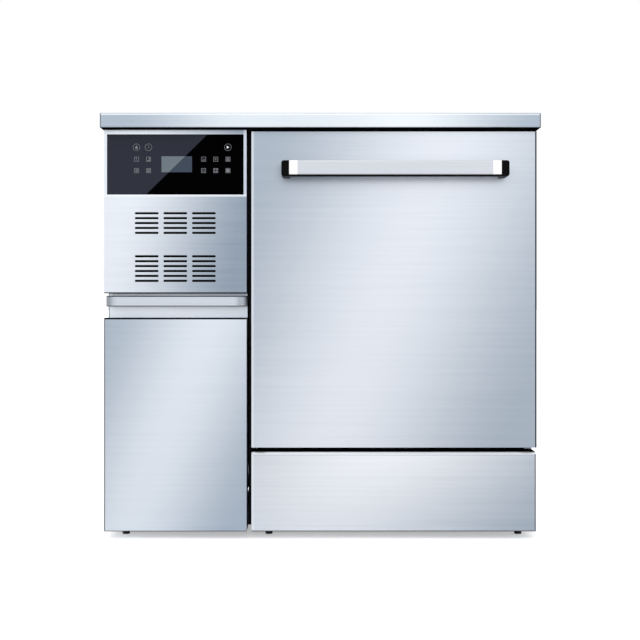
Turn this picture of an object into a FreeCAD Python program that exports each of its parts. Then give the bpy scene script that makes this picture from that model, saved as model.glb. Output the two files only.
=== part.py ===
import FreeCAD, Part
import math
import os

os.makedirs("parts", exist_ok=True)
V = FreeCAD.Vector

# Laboratory glassware washer, floor standing, millimetres.
# X runs to the right, Y to the back, Z up. The origin is on the floor, under the middle of the whole box.

# Overall
worktop_width = 906.0
worktop_depth = 700.0
worktop_thickness = 30.0
worktop_edge_radius = 2.5
worktop_lip = 20.0
overall_height = 880.0
worktop_front_overhang = 22.0
worktop_side_overhang = 5.0
floor_clearance = 16.0
sheet = 1.5
plate = 3.0
seat_gap = 0.3
running_clearance = 0.05

# Flat sides of what is thin, repeated or out of sight
wire_sides = 8
pipe_sides = 12
drum_sides = 16
mouth_sides = 24
bend_steps = 2

# Fronts
front_depth = 52.0
front_to_carcass = 5.0
column_gap = 10.0
left_front_width = 295.0
drawer_front_height = 442.5
recess_height = 51.0
fascia_top_gap = 2.0
kick_height = 164.5
kick_bevel = 5.0
kick_inset = 1.7
kick_gap = 9.0
door_top_gap = 5.0

# Door
door_handle_reach = 50.0
door_handle_length = 464.0
door_handle_height = 32.4
door_handle_bar = 14.0
door_handle_post = 16.0
door_handle_strip = 3.4
door_handle_corner = 5.0
door_handle_edge = 2.0
door_handle_below_top = 65.5
door_pan_depth = 12.0
door_pan_margin = 46.0
door_pan_corner = 20.0
hinge_inset = 12.0
hinge_from_door_edge = 18.0
hinge_boss_radius = 9.0
hinge_pin_radius = 5.0
hinge_pin_square = 6.6
hinge_arm_width = 6.0
hinge_arm_foot = 18.0
hinge_notch_width = 20.0
hinge_ear_rise = 24.0

# Door lock
striker_width = 24.0
striker_reach = 17.0
striker_lip = 5.0
lock_below_worktop = 20.0
lock_housing_left = 52.0
lock_housing_right = 28.0
lock_housing_height = 18.0
lock_cavity_half = 14.0
lock_bolt_length = 30.0
lock_bolt_size = 4.0
lock_bolt_from_mouth = 8.0
lock_bolt_rise = 7.0
lock_bolt_clearance = 0.4
lock_tunnel_end = 5.0

# Control panel
glass_width = 282.0
glass_height = 124.0
glass_thickness = 4.0
glass_top_margin = 10.0
glass_fit = 0.4
display_width = 65.0
display_height = 33.0
display_depth = 8.0
display_from_left = 110.0
display_from_top = 45.0
carrier_thickness = 4.0
carrier_rim = 9.0
carrier_edge = 4.0
board_fit = 1.0
vent_slot_length = 49.0
vent_slot_height = 4.6
vent_slot_clip = 1.4
vent_column_pitch = 59.2
vent_upper_rows = 5
vent_lower_rows = 6
vent_upper_share = 0.191
vent_lower_share = 0.627
vent_pitch_share = 0.0497

# Carcass
frame_height = 40.0
frame_bottom = 20.0
frame_beam = 30.0
post_width = 15.0
post_depth = 30.0
top_rail_height = 20.0
crossbeam_height = 31.0
rear_overhang = 30.0
partition_flange = 12.0
fascia_seat_width = 8.0
panel_return = 12.0
panel_foot_gap = 2.0
foot_radius = 8.0
foot_stem_radius = 5.0
foot_height = 8.0
foot_inset_side = 36.0
foot_inset_middle = 39.0
foot_inset_right = 29.0
foot_inset_front = 7.0
foot_inset_back = 12.0
locknut_height = 5.0
locknut_across = 14.0
rear_vent_length = 120.0
rear_vent_height = 5.0
rear_vent_pitch = 16.0
rear_vent_rows = 5
rear_vent_from_top = 90.0
rear_foot_notch = 30.0
rear_foot_notch_height = 6.0

# Shelf with its bulkhead, and the control board
shelf_above_recess = 2.5
bulkhead_setback = 22.0
bulkhead_below_rail = 5.0
control_board_width = 240.0
control_board_rise = 40.0
control_board_top_gap = 60.5
standoff_length = 8.0
standoff_radius = 3.5
standoff_inset = 10.0
board_margin = 20.0
transformer_size = (60.0, 28.0, 55.0)
relay_size = (20.0, 16.0, 30.0)
relay_pitch = 26.0
relay_count = 5
relay_from_left = 100.0
capacitor_radius = 9.0
capacitor_length = 22.0
capacitor_pitch = 30.0
capacitor_count = 3
capacitor_rise = 80.0
processor_size = (40.0, 4.0, 40.0)
processor_from_left = 60.0
processor_rise = 120.0

# Wash chamber
chamber_side_gap = 33.5
chamber_top_gap = 45.0
chamber_depth = 497.0
chamber_floor_rise = 55.5
chamber_corner = 24.0
chamber_flange = 24.0
insulation = 12.0
gasket_width = 14.0
gasket_inset = 4.0
cradle_width = 20.0

# Sump, strainer and heater
sump_mouth_radius = 90.0
sump_bowl_depth = 46.0
sump_well = 100.0
sump_depth = 130.0
sump_wall = 2.0
sump_rim = 14.0
sump_from_front = 127.0
strainer_fit = 0.3
strainer_drop = 2.0
strainer_cup_radius = 40.0
strainer_cup_bottom = 35.0
strainer_slots = 8
strainer_slot_width = 6.0
strainer_slot_margin = 10.0
strainer_ray_width = 3.0
strainer_ray_margin = 8.0
strainer_grip = 10.0
strainer_grip_height = 5.0
heater_radius = 4.0
heater_bend = 16.0
heater_side_gap = 57.0
heater_rise = 6.0
heater_front_offset = 75.0
heater_tail = 14.0
heater_cap_radius = 9.0
heater_cap = 8.0

# Circulation pump and drain
pump_axis_rise = 17.0
pump_gap = 32.0
pump_casing_radius = 62.0
pump_casing_length = 45.0
pump_casing_wall = 5.0
pump_motor_radius = 50.0
pump_motor_length = 115.0
pump_motor_gap = 1.0
pump_cowl_length = 12.0
pump_cowl_step = 8.0
pump_fin_count = 5
pump_fin_angle = 30.0
pump_fin_height = 6.0
pump_fin_inset = 12.0
pump_foot_half = 30.0
pump_foot_inset = 14.0
pump_shaft_radius = 6.0
pump_shaft_depth = 22.0
pump_shaft_end_gap = 2.0
impeller_radius = 52.0
impeller_disc = 4.0
impeller_blade_count = 6
impeller_blade_length = 20.0
impeller_blade_angle = 25.0
impeller_hub_radius = 14.0
impeller_end_gap = 4.0
suction_radius = 22.0
drain_radius = 16.0
drain_neck = 18.0
drain_body_radius = 30.0
drain_body_length = 32.0
drain_motor_length = 38.0
drain_motor_half = 22.0
drain_foot_half = 15.0
drain_spigot_radius = 11.0
drain_spigot_reach = 28.0
drain_collar = 36.0
drain_collar_thickness = 6.0
pipe_radius = 14.0
pipe_wall = 2.0
pipe_bend = 26.0
arm_feed_bend = 20.0
riser_from_wall = 10.0

# Spray arms
arm_end_gap = 34.0
arm_width = 50.0
arm_tip_width = 34.0
arm_thickness = 12.0
arm_boss_radius = 19.0
arm_boss_half = 11.0
arm_post_radius = 11.0
arm_nut_radius = 16.0
arm_nut_height = 6.0
arm_post_flange = 24.0
arm_jet_first_share = 0.1316
arm_jet_pitch_share = 0.0921
arm_jet_stagger = 10.0
arm_jet_count = 4
arm_jet_length = 12.0
arm_jet_width = 3.0
arm_jet_depth = 3.0
lower_arm_rise = 19.0
upper_arm_below_rail = 58.0

# Racks
slide_depth = 11.0
slide_height = 20.0
slide_clearance = 0.5
slide_inset = 8.0
upper_rack_share = 0.5625
lower_rack_height = 55.0
rack_front_clearance = 62.0
rack_back_clearance = 25.0
rack_bar = 3.0
wire_radius = 2.5
wire_gap = 0.1
rack_floor_rise = 4.0
rack_side_height = 60.0
rack_side_posts = 4
rack_wires_along = 8
rack_wires_across = 7
docking_radius = 12.0
docking_reach = 12.0
docking_below_rail = 4.0
docking_collar = 4.0
docking_collar_length = 10.0
feed_bend = 18.0
manifold_size = 24.0
manifold_tube = 7.0
manifold_end_gap = 6.0
nozzle_radius = 3.2
nozzle_height = 95.0
nozzle_rows = 4
nozzles_per_side = 3
nozzle_first_share = 0.6

# Chemicals drawer
tray_floor_z = 75.0
tray_wall_height = 110.0
tray_depth = 445.0
tray_slide_rise = 60.0
tray_slide_setback = 2.0
canister_count = 2
canister_width = 200.0
canister_depth = 150.0
canister_height = 250.0
canister_corner = 22.0
canister_gap = 14.0
canister_from_front = 18.0
canister_shoulder = (50.0, 45.0)
canister_grip_left = 40.0
canister_grip_right = 35.0
canister_grip_top = 20.0
canister_grip_bottom = 50.0
canister_neck_inset = 36.0
canister_neck_radius = 24.0
canister_neck_height = 18.0
cap_overlap = 4.0
cap_height = 14.0
lance_radius = 8.0
lance_height = 20.0
drawer_panel_inset = 1.0
drawer_panel_top_gap = 0.8
drawer_handle_height = 21.5
drawer_handle_bar = 8.0
drawer_handle_bend = 25.0
drawer_handle_from_fascia = 6.0

# Dosing pumps
dosing_first_z = 190.0
dosing_pitch = 110.0
dosing_count = 2
dosing_behind_tray = 62.0
dosing_depth = 44.0
dosing_half_width = 38.0
dosing_below_axis = 42.0
dosing_cavity_radius = 32.0
dosing_cavity_depth = 30.0
dosing_shaft_radius = 4.0
dosing_shaft_depth = 10.0
dosing_rotor_depth = 24.0
dosing_end_gap = 4.0
dosing_hub_radius = 12.0
dosing_roller_radius = 8.0
dosing_roller_orbit = 18.5
dosing_roller_count = 3

# Drying unit, all in the bay over the shelf
blower_left_of_middle = 40.0
blower_width = 76.0
blower_radius_share = 0.2526
blower_wall = 2.0
blower_from_rear = 126.0
blower_throat = 58.0
blower_stand_inset = 8.0
blower_stand_half = 45.0
blower_inlet_radius = 50.0
blower_motor_radius = 38.0
blower_motor_length = 45.0
blower_shaft_radius = 5.0
blower_shaft_depth = 20.0
blower_shaft_end_gap = 2.0
blower_wheel_gap = 14.0
blower_disc = 4.0
blower_disc_from_wall = 8.0
blower_hub_radius = 12.0
blower_hub_length = 14.0
blower_blade_count = 10
blower_blade_width = 12.0
blower_blade_thickness = 1.6
blower_blade_angle = 35.0
blower_blade_inset = 8.0
blower_to_filter = 14.0
filter_depth = 175.0
filter_half_width = 95.0
filter_top_gap = 100.5
filter_lid = 4.0
filter_lid_lip = 3.0
duct_radius = 30.0
duct_from_filter_front = 90.0
duct_rise_share = 0.5433
duct_reach = 2.0

# Rear connections
valve_count = 3
valve_from_left = 58.0
valve_pitch = 60.0
valve_z = 120.0
valve_body = 34.0
valve_body_depth = 40.0
valve_coil = 28.0
valve_coil_height = 35.0
valve_coil_from_panel = 24.0
valve_thread_radius = 13.2
valve_bore_radius = 8.0
valve_reach = 24.0
neck_step = 0.4
hole_clearance = 0.4
gland_from_right = 98.0
gland_z = 130.0
gland_radius = 12.0
gland_bore_radius = 7.0
gland_nut_radius = 17.0
gland_nut_length = 9.0
gland_dome_length = 11.0
gland_locknut = 8.0

# Places worked out from the sizes
handle_front_y = -(worktop_depth + door_handle_reach - worktop_front_overhang) / 2
front_y = handle_front_y + door_handle_reach
worktop_front_y = front_y - worktop_front_overhang
worktop_back_y = worktop_front_y + worktop_depth
front_back_y = front_y + front_depth
carcass_y = front_back_y + front_to_carcass
post_front_y = carcass_y + sheet
rear_panel_y = worktop_back_y - rear_overhang
rear_inner_y = rear_panel_y - 2 * sheet
under_top_z = overall_height - worktop_thickness
front_left_x = worktop_side_overhang - worktop_width / 2
front_right_x = -front_left_x
left_front_right_x = front_left_x + left_front_width
door_left_x = left_front_right_x + column_gap
side_inner_x = front_right_x - 1.0 - sheet
kick_top_z = floor_clearance + kick_height
door_bottom_z = kick_top_z + kick_gap
door_top_z = under_top_z - door_top_gap
drawer_front_top_z = floor_clearance + drawer_front_height
fascia_bottom_z = drawer_front_top_z + recess_height
fascia_top_z = under_top_z - fascia_top_gap
left_mid_x = (front_left_x + left_front_right_x) / 2
module_x = (door_left_x + front_right_x) / 2
hinge_y = front_y + hinge_inset
hinge_z = door_bottom_z + hinge_inset
hinge_xs = (door_left_x + hinge_from_door_edge, front_right_x - hinge_from_door_edge)
partition_x = (left_front_right_x + door_left_x) / 2
partition_left_x = partition_x - 2.0
partition_right_x = partition_left_x + sheet
frame_top_z = frame_bottom + frame_height
foot_xs = (front_left_x + foot_inset_side, partition_x + foot_inset_middle, front_right_x - foot_inset_right)
crossbeam_z = door_bottom_z
cradle_z = crossbeam_z + crossbeam_height
chamber_left_x = door_left_x + chamber_side_gap
chamber_right_x = front_right_x - chamber_side_gap
chamber_floor_z = door_bottom_z + chamber_floor_rise
chamber_top_z = under_top_z - chamber_top_gap
chamber_back_y = carcass_y + chamber_depth
chamber_mid_y = (carcass_y + chamber_back_y) / 2
arm_length = chamber_right_x - chamber_left_x - 2 * arm_end_gap
heater_z = chamber_floor_z + heater_rise
heater_xs = (chamber_left_x + heater_side_gap, chamber_right_x - heater_side_gap)
glass_left_x = left_mid_x - glass_width / 2
glass_top_z = fascia_top_z - glass_top_margin
vent_field = glass_top_z - glass_height - fascia_bottom_z
sump_y = carcass_y + sump_from_front
sump_top_z = chamber_floor_z - sheet
pump_axis_z = sump_top_z - sump_depth + pump_axis_rise
pump_x = module_x + sump_well / 2 + pump_gap
outlet_y = sump_y + pump_casing_radius - pipe_radius - pipe_wall
outlet_z = pump_axis_z + pump_casing_radius - 4.0
riser_x = pump_x + pump_casing_length / 2
riser_y = (chamber_back_y + rear_inner_y) / 2 - riser_from_wall
upper_rail_z = chamber_floor_z + (chamber_top_z - chamber_floor_z) * upper_rack_share
lower_rail_z = chamber_floor_z + lower_rack_height
rack_front_y = front_back_y + rack_front_clearance
rack_back_y = chamber_back_y - rack_back_clearance
rack_left_x = chamber_left_x + slide_depth + slide_clearance
rack_right_x = chamber_right_x - slide_depth - slide_clearance
docking_y = chamber_back_y - docking_reach
lower_docking_z = lower_rail_z + slide_height / 2 + manifold_size / 2
upper_docking_z = upper_rail_z - slide_height / 2 - docking_radius - docking_below_rail
riser_top_z = upper_docking_z + docking_radius + 2 * pipe_radius
lower_arm_z = chamber_floor_z + lower_arm_rise
upper_arm_z = upper_rail_z - upper_arm_below_rail
bay_height = under_top_z - fascia_bottom_z
shelf_z = fascia_bottom_z + shelf_above_recess
bulkhead_y = post_front_y + bulkhead_setback
duct_z = fascia_bottom_z + bay_height * duct_rise_share
blower_x = left_mid_x - blower_left_of_middle
blower_radius = bay_height * blower_radius_share
blower_y = rear_inner_y - blower_from_rear
blower_z = shelf_z + sheet + blower_radius + 22.0
filter_y1 = blower_y - blower_radius - blower_to_filter
filter_y0 = filter_y1 - filter_depth
duct_y = filter_y0 + duct_from_filter_front
tray_y0 = front_back_y + sheet
tray_left_x = -side_inner_x + post_width
dosing_y = tray_y0 + tray_depth + dosing_behind_tray
lock_z = under_top_z - lock_below_worktop
lock_bolt_y = front_back_y + lock_bolt_from_mouth
drain_x = module_x - sump_well / 2 - drain_neck - drain_body_length / 2
drain_end_y = rear_panel_y + drain_spigot_reach
gland_x = front_right_x - gland_from_right


def block(x0, x1, y0, y1, z0, z1):
    return Part.makeBox(x1 - x0, y1 - y0, z1 - z0, V(x0, y0, z0))


def rod(start, end, radius):
    a = V(*start)
    b = V(*end)
    return Part.makeCylinder(radius, (b - a).Length, a, b - a)


def ring_of_corners(centre, axis, radius, sides):
    # corners of a regular outline round an axis, with a flat side turned towards the axes of the machine
    level = V(axis).normalize()
    across = level.cross(V(0, 0, 1)) if abs(level.z) < 0.9 else V(1, 0, 0)
    spoke = across.normalize() * radius
    corners = []
    for i in range(sides):
        corners.append(centre + FreeCAD.Rotation(level, 360.0 * (i + 0.5) / sides).multVec(spoke))
    return corners


def faceted(start, end, radius, sides):
    # straight bar with flat sides, its corners on the given radius
    a = V(*start)
    axis = V(*end) - a
    corners = ring_of_corners(a, axis, radius, sides)
    return Part.Face(Part.makePolygon(corners + corners[:1])).extrude(axis)


def centreline(points, bend):
    # the corners of a route, each one rounded by a few short runs
    corners = [V(*p) for p in points]
    line = [corners[0]]
    for before, corner, after in zip(corners, corners[1:], corners[2:]):
        back = (before - corner).normalize()
        ahead = (after - corner).normalize()
        half = back.getAngle(ahead) / 2
        reach = bend / math.tan(half)
        centre = corner + (back + ahead).normalize() * (bend / math.sin(half))
        spoke = corner + back * reach - centre
        turn = math.degrees(math.pi - 2 * half)
        axis = back.cross(ahead)
        for i in range(bend_steps + 1):
            line.append(centre + FreeCAD.Rotation(axis, -turn * i / bend_steps).multVec(spoke))
    return line + [corners[-1]]


def pipe(points, bend, radius, sides):
    # flat-sided pipe along a route, mitred where it turns
    line = centreline(points, bend)
    ring = ring_of_corners(line[0], line[1] - line[0], radius, sides)
    rings = [ring]
    for i in range(1, len(line)):
        run = (line[i] - line[i - 1]).normalize()
        ahead = (line[i + 1] - line[i]).normalize() if i + 1 < len(line) else run
        mitre = run + ahead
        ring = [p + run * ((line[i] - p).dot(mitre) / run.dot(mitre)) for p in ring]
        rings.append(ring)
    faces = [Part.Face(Part.makePolygon(end + end[:1])) for end in (rings[0], rings[-1])]
    for near, far in zip(rings, rings[1:]):
        for k in range(sides):
            n = (k + 1) % sides
            faces.append(Part.Face(Part.makePolygon([near[k], near[n], far[n], far[k], near[k]])))
    solid = Part.Solid(Part.Shell(faces))
    if solid.Volume < 0:
        solid.reverse()
    return solid


def rounded_block(x0, x1, y0, y1, z0, z1, radius, axis):
    solid = block(x0, x1, y0, y1, z0, z1)
    along = {"X": V(1, 0, 0), "Y": V(0, 1, 0), "Z": V(0, 0, 1)}[axis]
    edges = [e for e in solid.Edges if e.tangentAt(e.FirstParameter).cross(along).Length < 1e-6]
    return solid.makeFillet(radius, edges)


def extruded(points, direction):
    corners = [V(*p) for p in points]
    return Part.Face(Part.makePolygon(corners + corners[:1])).extrude(V(*direction))


def spun(solid, angle, centre, axis):
    solid.rotate(V(*centre), V(*axis), angle)
    return solid


def bow_bar(x0, x1, y_front, y_back, z0, z1, bar, bend):
    # flat bar bent back at both ends to the face that carries it
    outer = rounded_block(x0, x1, y_front, y_back + 2 * bend, z0, z1, bend, "Z")
    inner = rounded_block(x0 + bar, x1 - bar, y_front + bar, y_back + 2 * bend, z0, z1, bend - bar, "Z")
    behind = block(x0, x1, y_back, y_back + 2 * bend, z0, z1)
    return outer.cut(inner).cut(behind)


def pan(x0, x1, y0, y1, z0, z1):
    # folded sheet tray, open at the back
    inner = block(x0 + sheet, x1 - sheet, y0 + sheet, y1, z0 + sheet, z1 - sheet)
    return block(x0, x1, y0, y1, z0, z1).cut(inner)


def fused(solids):
    return solids[0].fuse(solids[1:]).removeSplitter()


def save(name, *solids):
    shape = solids[0] if len(solids) == 1 else Part.makeCompound(list(solids))
    shape.exportStep("parts/" + name + ".step")


def slide_pair(left_face_x, right_face_x, mid_z, y0, y1, bar_y0):
    # two C channels on facing walls, and the bars that run in them
    fixed = []
    moving = []
    low = mid_z - slide_height / 2
    high = mid_z + slide_height / 2
    gap = sheet + slide_clearance
    for face_x, inward in ((left_face_x, 1), (right_face_x, -1)):
        far = face_x + inward * slide_depth
        channel = block(min(face_x, far), max(face_x, far), y0, y1, low, high)
        web = face_x + inward * sheet
        mouth = far + inward
        hollow = block(min(web, mouth), max(web, mouth), y0, y1, low + sheet, high - sheet)
        fixed.append(channel.cut(hollow))
        near = web + inward * slide_clearance
        end = far + inward * slide_clearance
        moving.append(block(min(near, end), max(near, end), bar_y0, y1, low + gap, high - gap))
    return fixed, moving


# Base frame: welded box-section beams with a leak tray on top
def make_base_frame():
    front = post_front_y
    back = rear_inner_y
    left = -side_inner_x
    beams = [block(left, side_inner_x, y0, y0 + frame_beam, frame_bottom, frame_top_z)
             for y0 in (front, back - frame_beam)]
    middle = partition_left_x - frame_beam / 2
    for x0 in (left, middle, side_inner_x - frame_beam):
        beams.append(block(x0, x0 + frame_beam, front + frame_beam, back - frame_beam, frame_bottom, frame_top_z))
    tray = block(partition_right_x, side_inner_x, front + post_depth, back - post_depth, frame_top_z,
                 frame_top_z + sheet)
    save("base_frame", *beams, tray)


# Levelling feet: moulded pad and threaded stem, held by a locknut under the frame
def make_feet():
    feet = []
    for x in foot_xs:
        for y in (post_front_y + foot_inset_front, rear_inner_y - foot_inset_back):
            pad = faceted((x, y, 0), (x, y, foot_height), foot_radius, wire_sides)
            stem = faceted((x, y, 0), (x, y, frame_bottom + frame_height / 2), foot_stem_radius, 6)
            nut = faceted((x, y, frame_bottom - locknut_height), (x, y, frame_bottom),
                          locknut_across / math.sqrt(3), 6)
            feet.append(fused([pad, stem, nut]))
    save("levelling_feet", *feet)


# Carcass: posts, top rails, crossbeams under the chamber and the two cradle beams
def make_carcass():
    solids = []
    rail_z = under_top_z - top_rail_height
    back_post_y = rear_inner_y - post_depth
    for x0 in (-side_inner_x, partition_right_x, side_inner_x - post_width):
        for y0 in (post_front_y, back_post_y):
            solids.append(block(x0, x0 + post_width, y0, y0 + post_depth, frame_top_z, under_top_z))
    for x0 in (-side_inner_x, side_inner_x - post_width):
        solids.append(block(x0, x0 + post_width, post_front_y + post_depth, back_post_y, rail_z, under_top_z))
    right0 = partition_right_x + post_width
    right1 = side_inner_x - post_width
    for y0 in (post_front_y + post_depth - post_width, rear_inner_y - post_width):
        solids.append(block(right0, right1, y0, y0 + post_width, rail_z, under_top_z))
        solids.append(block(tray_left_x, partition_left_x, y0, y0 + post_width, rail_z, under_top_z))
    for y0, y1 in ((post_front_y, post_front_y + post_depth), (back_post_y, rear_inner_y)):
        solids.append(block(right0, right1, y0, y1, crossbeam_z, cradle_z))
    for x0 in (chamber_left_x + cradle_width, chamber_right_x - 2 * cradle_width):
        solids.append(block(x0, x0 + cradle_width, post_front_y, rear_inner_y, cradle_z, sump_top_z))
    save("carcass_frame", *solids)


# Centre partition: sheet wall between the two columns, with the black flange seen in the gap
def make_partition():
    wall = block(partition_left_x, partition_right_x, post_front_y, rear_inner_y, frame_top_z, under_top_z)
    right = partition_right_x + partition_flange
    flange = block(partition_left_x - sheet, right, carcass_y, post_front_y, frame_bottom, under_top_z)
    seat = block(partition_left_x - fascia_seat_width, right, carcass_y, post_front_y, fascia_bottom_z, under_top_z)
    hole = faceted((partition_left_x - sheet, duct_y, duct_z), (partition_right_x + sheet, duct_y, duct_z),
                   duct_radius + seat_gap, drum_sides)
    save("centre_partition", fused([wall, flange, seat]).cut(hole))


# Side panels: folded sheet with a return along the foot
def make_side_panels():
    panels = []
    z0 = floor_clearance + panel_foot_gap
    for inner, outward in ((-side_inner_x, -1), (side_inner_x, 1)):
        outer = inner + outward * sheet
        turned_in = inner - outward * panel_return
        skin = block(min(inner, outer), max(inner, outer), carcass_y, rear_panel_y, z0, under_top_z)
        lip = block(min(inner, turned_in), max(inner, turned_in), post_front_y + sheet, rear_inner_y, z0, z0 + sheet)
        panels.append(fused([skin, lip]))
    save("side_panels", *panels)


# Rear panel: removable sheet with vent slots and the connection holes
def make_rear_panel():
    y0 = rear_inner_y
    y1 = rear_panel_y
    panel = block(-side_inner_x, side_inner_x, y0, y1, frame_bottom, under_top_z)
    cuts = []
    for column in (left_mid_x, module_x):
        for row in range(rear_vent_rows):
            z = under_top_z - rear_vent_from_top - row * rear_vent_pitch
            cuts.append(block(column - rear_vent_length / 2, column + rear_vent_length / 2, y0, y1, z,
                              z + rear_vent_height))
    half = valve_thread_radius + neck_step + hole_clearance
    for x in valve_xs():
        cuts.append(block(x - half, x + half, y0, y1, valve_z - half, valve_z + half))
    cuts.append(faceted((drain_x, y0, pump_axis_z), (drain_x, y1, pump_axis_z),
                        drain_spigot_radius + neck_step + hole_clearance, wire_sides))
    cuts.append(rod((gland_x, y0, gland_z), (gland_x, y1, gland_z), gland_radius + hole_clearance))
    for x in foot_xs:
        cuts.append(block(x - rear_foot_notch / 2, x + rear_foot_notch / 2, y0, y1, frame_bottom,
                          frame_bottom + rear_foot_notch_height))
    save("rear_panel", panel.cut(cuts))


# Worktop: folded steel skin with softened edges, wrapped round a board core
def make_worktop():
    x = worktop_width / 2
    slab = block(-x, x, worktop_front_y, worktop_back_y, under_top_z, overall_height)
    top_edges = [e for e in slab.Edges if abs(e.CenterOfMass.z - overall_height) < 0.01]
    front_edge = [e for e in slab.Edges
                  if abs(e.CenterOfMass.z - under_top_z) < 0.01 and e.CenterOfMass.y < worktop_front_y + 1]
    skin = slab.makeFillet(worktop_edge_radius, top_edges + front_edge)
    wall = worktop_edge_radius
    core = block(-x + wall, x - wall, worktop_front_y + wall, worktop_back_y - wall, under_top_z + sheet,
                 overall_height - sheet)
    opening = block(-x + worktop_lip, x - worktop_lip, worktop_front_y + worktop_lip,
                    worktop_back_y - worktop_lip, under_top_z, under_top_z + sheet)
    save("worktop", skin.cut([core, opening]))
    save("worktop_core", core)


# Kick plate: folded front with a bevel along its top edge
def make_kick_plate():
    x0 = door_left_x
    x1 = front_right_x - kick_inset
    fold = sheet / 2
    outer = extruded([(x0, front_y, floor_clearance), (x0, carcass_y, floor_clearance),
                      (x0, carcass_y, kick_top_z), (x0, front_y + kick_bevel, kick_top_z),
                      (x0, front_y, kick_top_z - kick_bevel)], (x1 - x0, 0, 0))
    hollow = extruded([(x0 + sheet, front_y + sheet, floor_clearance + sheet),
                       (x0 + sheet, carcass_y, floor_clearance + sheet),
                       (x0 + sheet, carcass_y, kick_top_z - sheet),
                       (x0 + sheet, front_y + kick_bevel + fold, kick_top_z - sheet),
                       (x0 + sheet, front_y + sheet, kick_top_z - kick_bevel - fold)],
                      (x1 - x0 - 2 * sheet, 0, 0))
    save("kick_plate", outer.cut(hollow))


# Upper fascia: folded front with the glass cut-out and two groups of punched vent slots
def vent_slot(x, z):
    a = vent_slot_length / 2
    b = vent_slot_height / 2
    c = vent_slot_clip
    outline = [(-a, c - b), (c - a, -b), (a - c, -b), (a, c - b), (a, b - c), (a - c, b), (c - a, b), (-a, b - c)]
    return extruded([(x + u, front_y, z + v) for u, v in outline], (0, sheet, 0))


def make_fascia():
    shell = pan(front_left_x, left_front_right_x, front_y, carcass_y, fascia_bottom_z, fascia_top_z)
    glass_bottom_z = glass_top_z - glass_height
    cuts = [block(glass_left_x - glass_fit, glass_left_x + glass_width + glass_fit, front_y, front_y + sheet,
                  glass_bottom_z - glass_fit, glass_top_z + glass_fit)]
    for share, rows in ((vent_upper_share, vent_upper_rows), (vent_lower_share, vent_lower_rows)):
        for row in range(rows):
            z = glass_bottom_z - vent_field * (share + row * vent_pitch_share)
            for column in (-1, 0, 1):
                cuts.append(vent_slot(left_mid_x + column * vent_column_pitch, z))
    save("upper_fascia", shell.cut(cuts))


# Control glass in its moulded carrier, with the display and touch board behind it
def make_control_panel():
    x0 = glass_left_x
    x1 = glass_left_x + glass_width
    z1 = glass_top_z
    z0 = glass_top_z - glass_height
    back = front_y + glass_thickness
    save("control_glass", block(x0, x1, front_y, back, z0, z1))
    carrier_back = back + carrier_thickness
    edge = carrier_edge
    rim = carrier_rim
    carrier = block(x0 - edge, x1 + edge, front_y + sheet, carrier_back, z0 - edge, z1 + edge)
    pocket = block(x0 - glass_fit, x1 + glass_fit, front_y + sheet, back, z0 - glass_fit, z1 + glass_fit)
    window = block(x0 + rim, x1 - rim, back, carrier_back, z0 + rim, z1 - rim)
    save("glass_carrier", carrier.cut([pocket, window]))
    inset = rim + board_fit
    board = block(x0 + inset, x1 - inset, back, back + sheet, z0 + inset, z1 - inset)
    dx = x0 + display_from_left
    dz = z1 - display_from_top
    hole = block(dx - board_fit, dx + display_width + board_fit, back, back + sheet,
                 dz - display_height - board_fit, dz + board_fit)
    display = block(dx, dx + display_width, back, back + display_depth, dz - display_height, dz)
    save("display_module", board.cut(hole), display)


# Shelf over the drawer bay, folded up at the front as the plate that carries the control board
def make_shelf():
    x0 = -side_inner_x
    floor = block(x0, partition_left_x, bulkhead_y, rear_inner_y - post_depth, shelf_z, shelf_z + sheet)
    upstand = block(x0 + post_width, partition_left_x, bulkhead_y, bulkhead_y + sheet, shelf_z,
                    under_top_z - top_rail_height - bulkhead_below_rail)
    notch = block(x0, x0 + post_width, bulkhead_y, post_front_y + post_depth, shelf_z, shelf_z + sheet)
    save("mid_shelf", fused([floor, upstand]).cut(notch))


def make_control_board():
    # printed board on four standoffs, with a transformer, relays, capacitors and a processor
    x0 = left_mid_x - control_board_width / 2
    x1 = left_mid_x + control_board_width / 2
    z0 = fascia_bottom_z + control_board_rise
    z1 = under_top_z - control_board_top_gap
    y1 = bulkhead_y - standoff_length
    y0 = y1 - sheet
    solids = [block(x0, x1, y0, y1, z0, z1)]
    for x in (x0 + standoff_inset, x1 - standoff_inset):
        for z in (z0 + standoff_inset, z1 - standoff_inset):
            solids.append(faceted((x, y1, z), (x, bulkhead_y, z), standoff_radius, 6))
    low = z0 + board_margin
    wide, deep, tall = transformer_size
    solids.append(block(x0 + board_margin, x0 + board_margin + wide, y0 - deep, y0, low, low + tall))
    wide, deep, tall = relay_size
    for i in range(relay_count):
        left = x0 + relay_from_left + i * relay_pitch
        solids.append(block(left, left + wide, y0 - deep, y0, low, low + tall))
    for i in range(capacitor_count):
        x = x0 + relay_from_left + capacitor_radius + i * capacitor_pitch
        z = z0 + capacitor_rise
        solids.append(faceted((x, y0 - capacitor_length, z), (x, y0, z), capacitor_radius, wire_sides))
    wide, deep, tall = processor_size
    left = x0 + processor_from_left
    solids.append(block(left, left + wide, y0 - deep, y0, z0 + processor_rise, z0 + processor_rise + tall))
    save("control_board", *solids)


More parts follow.
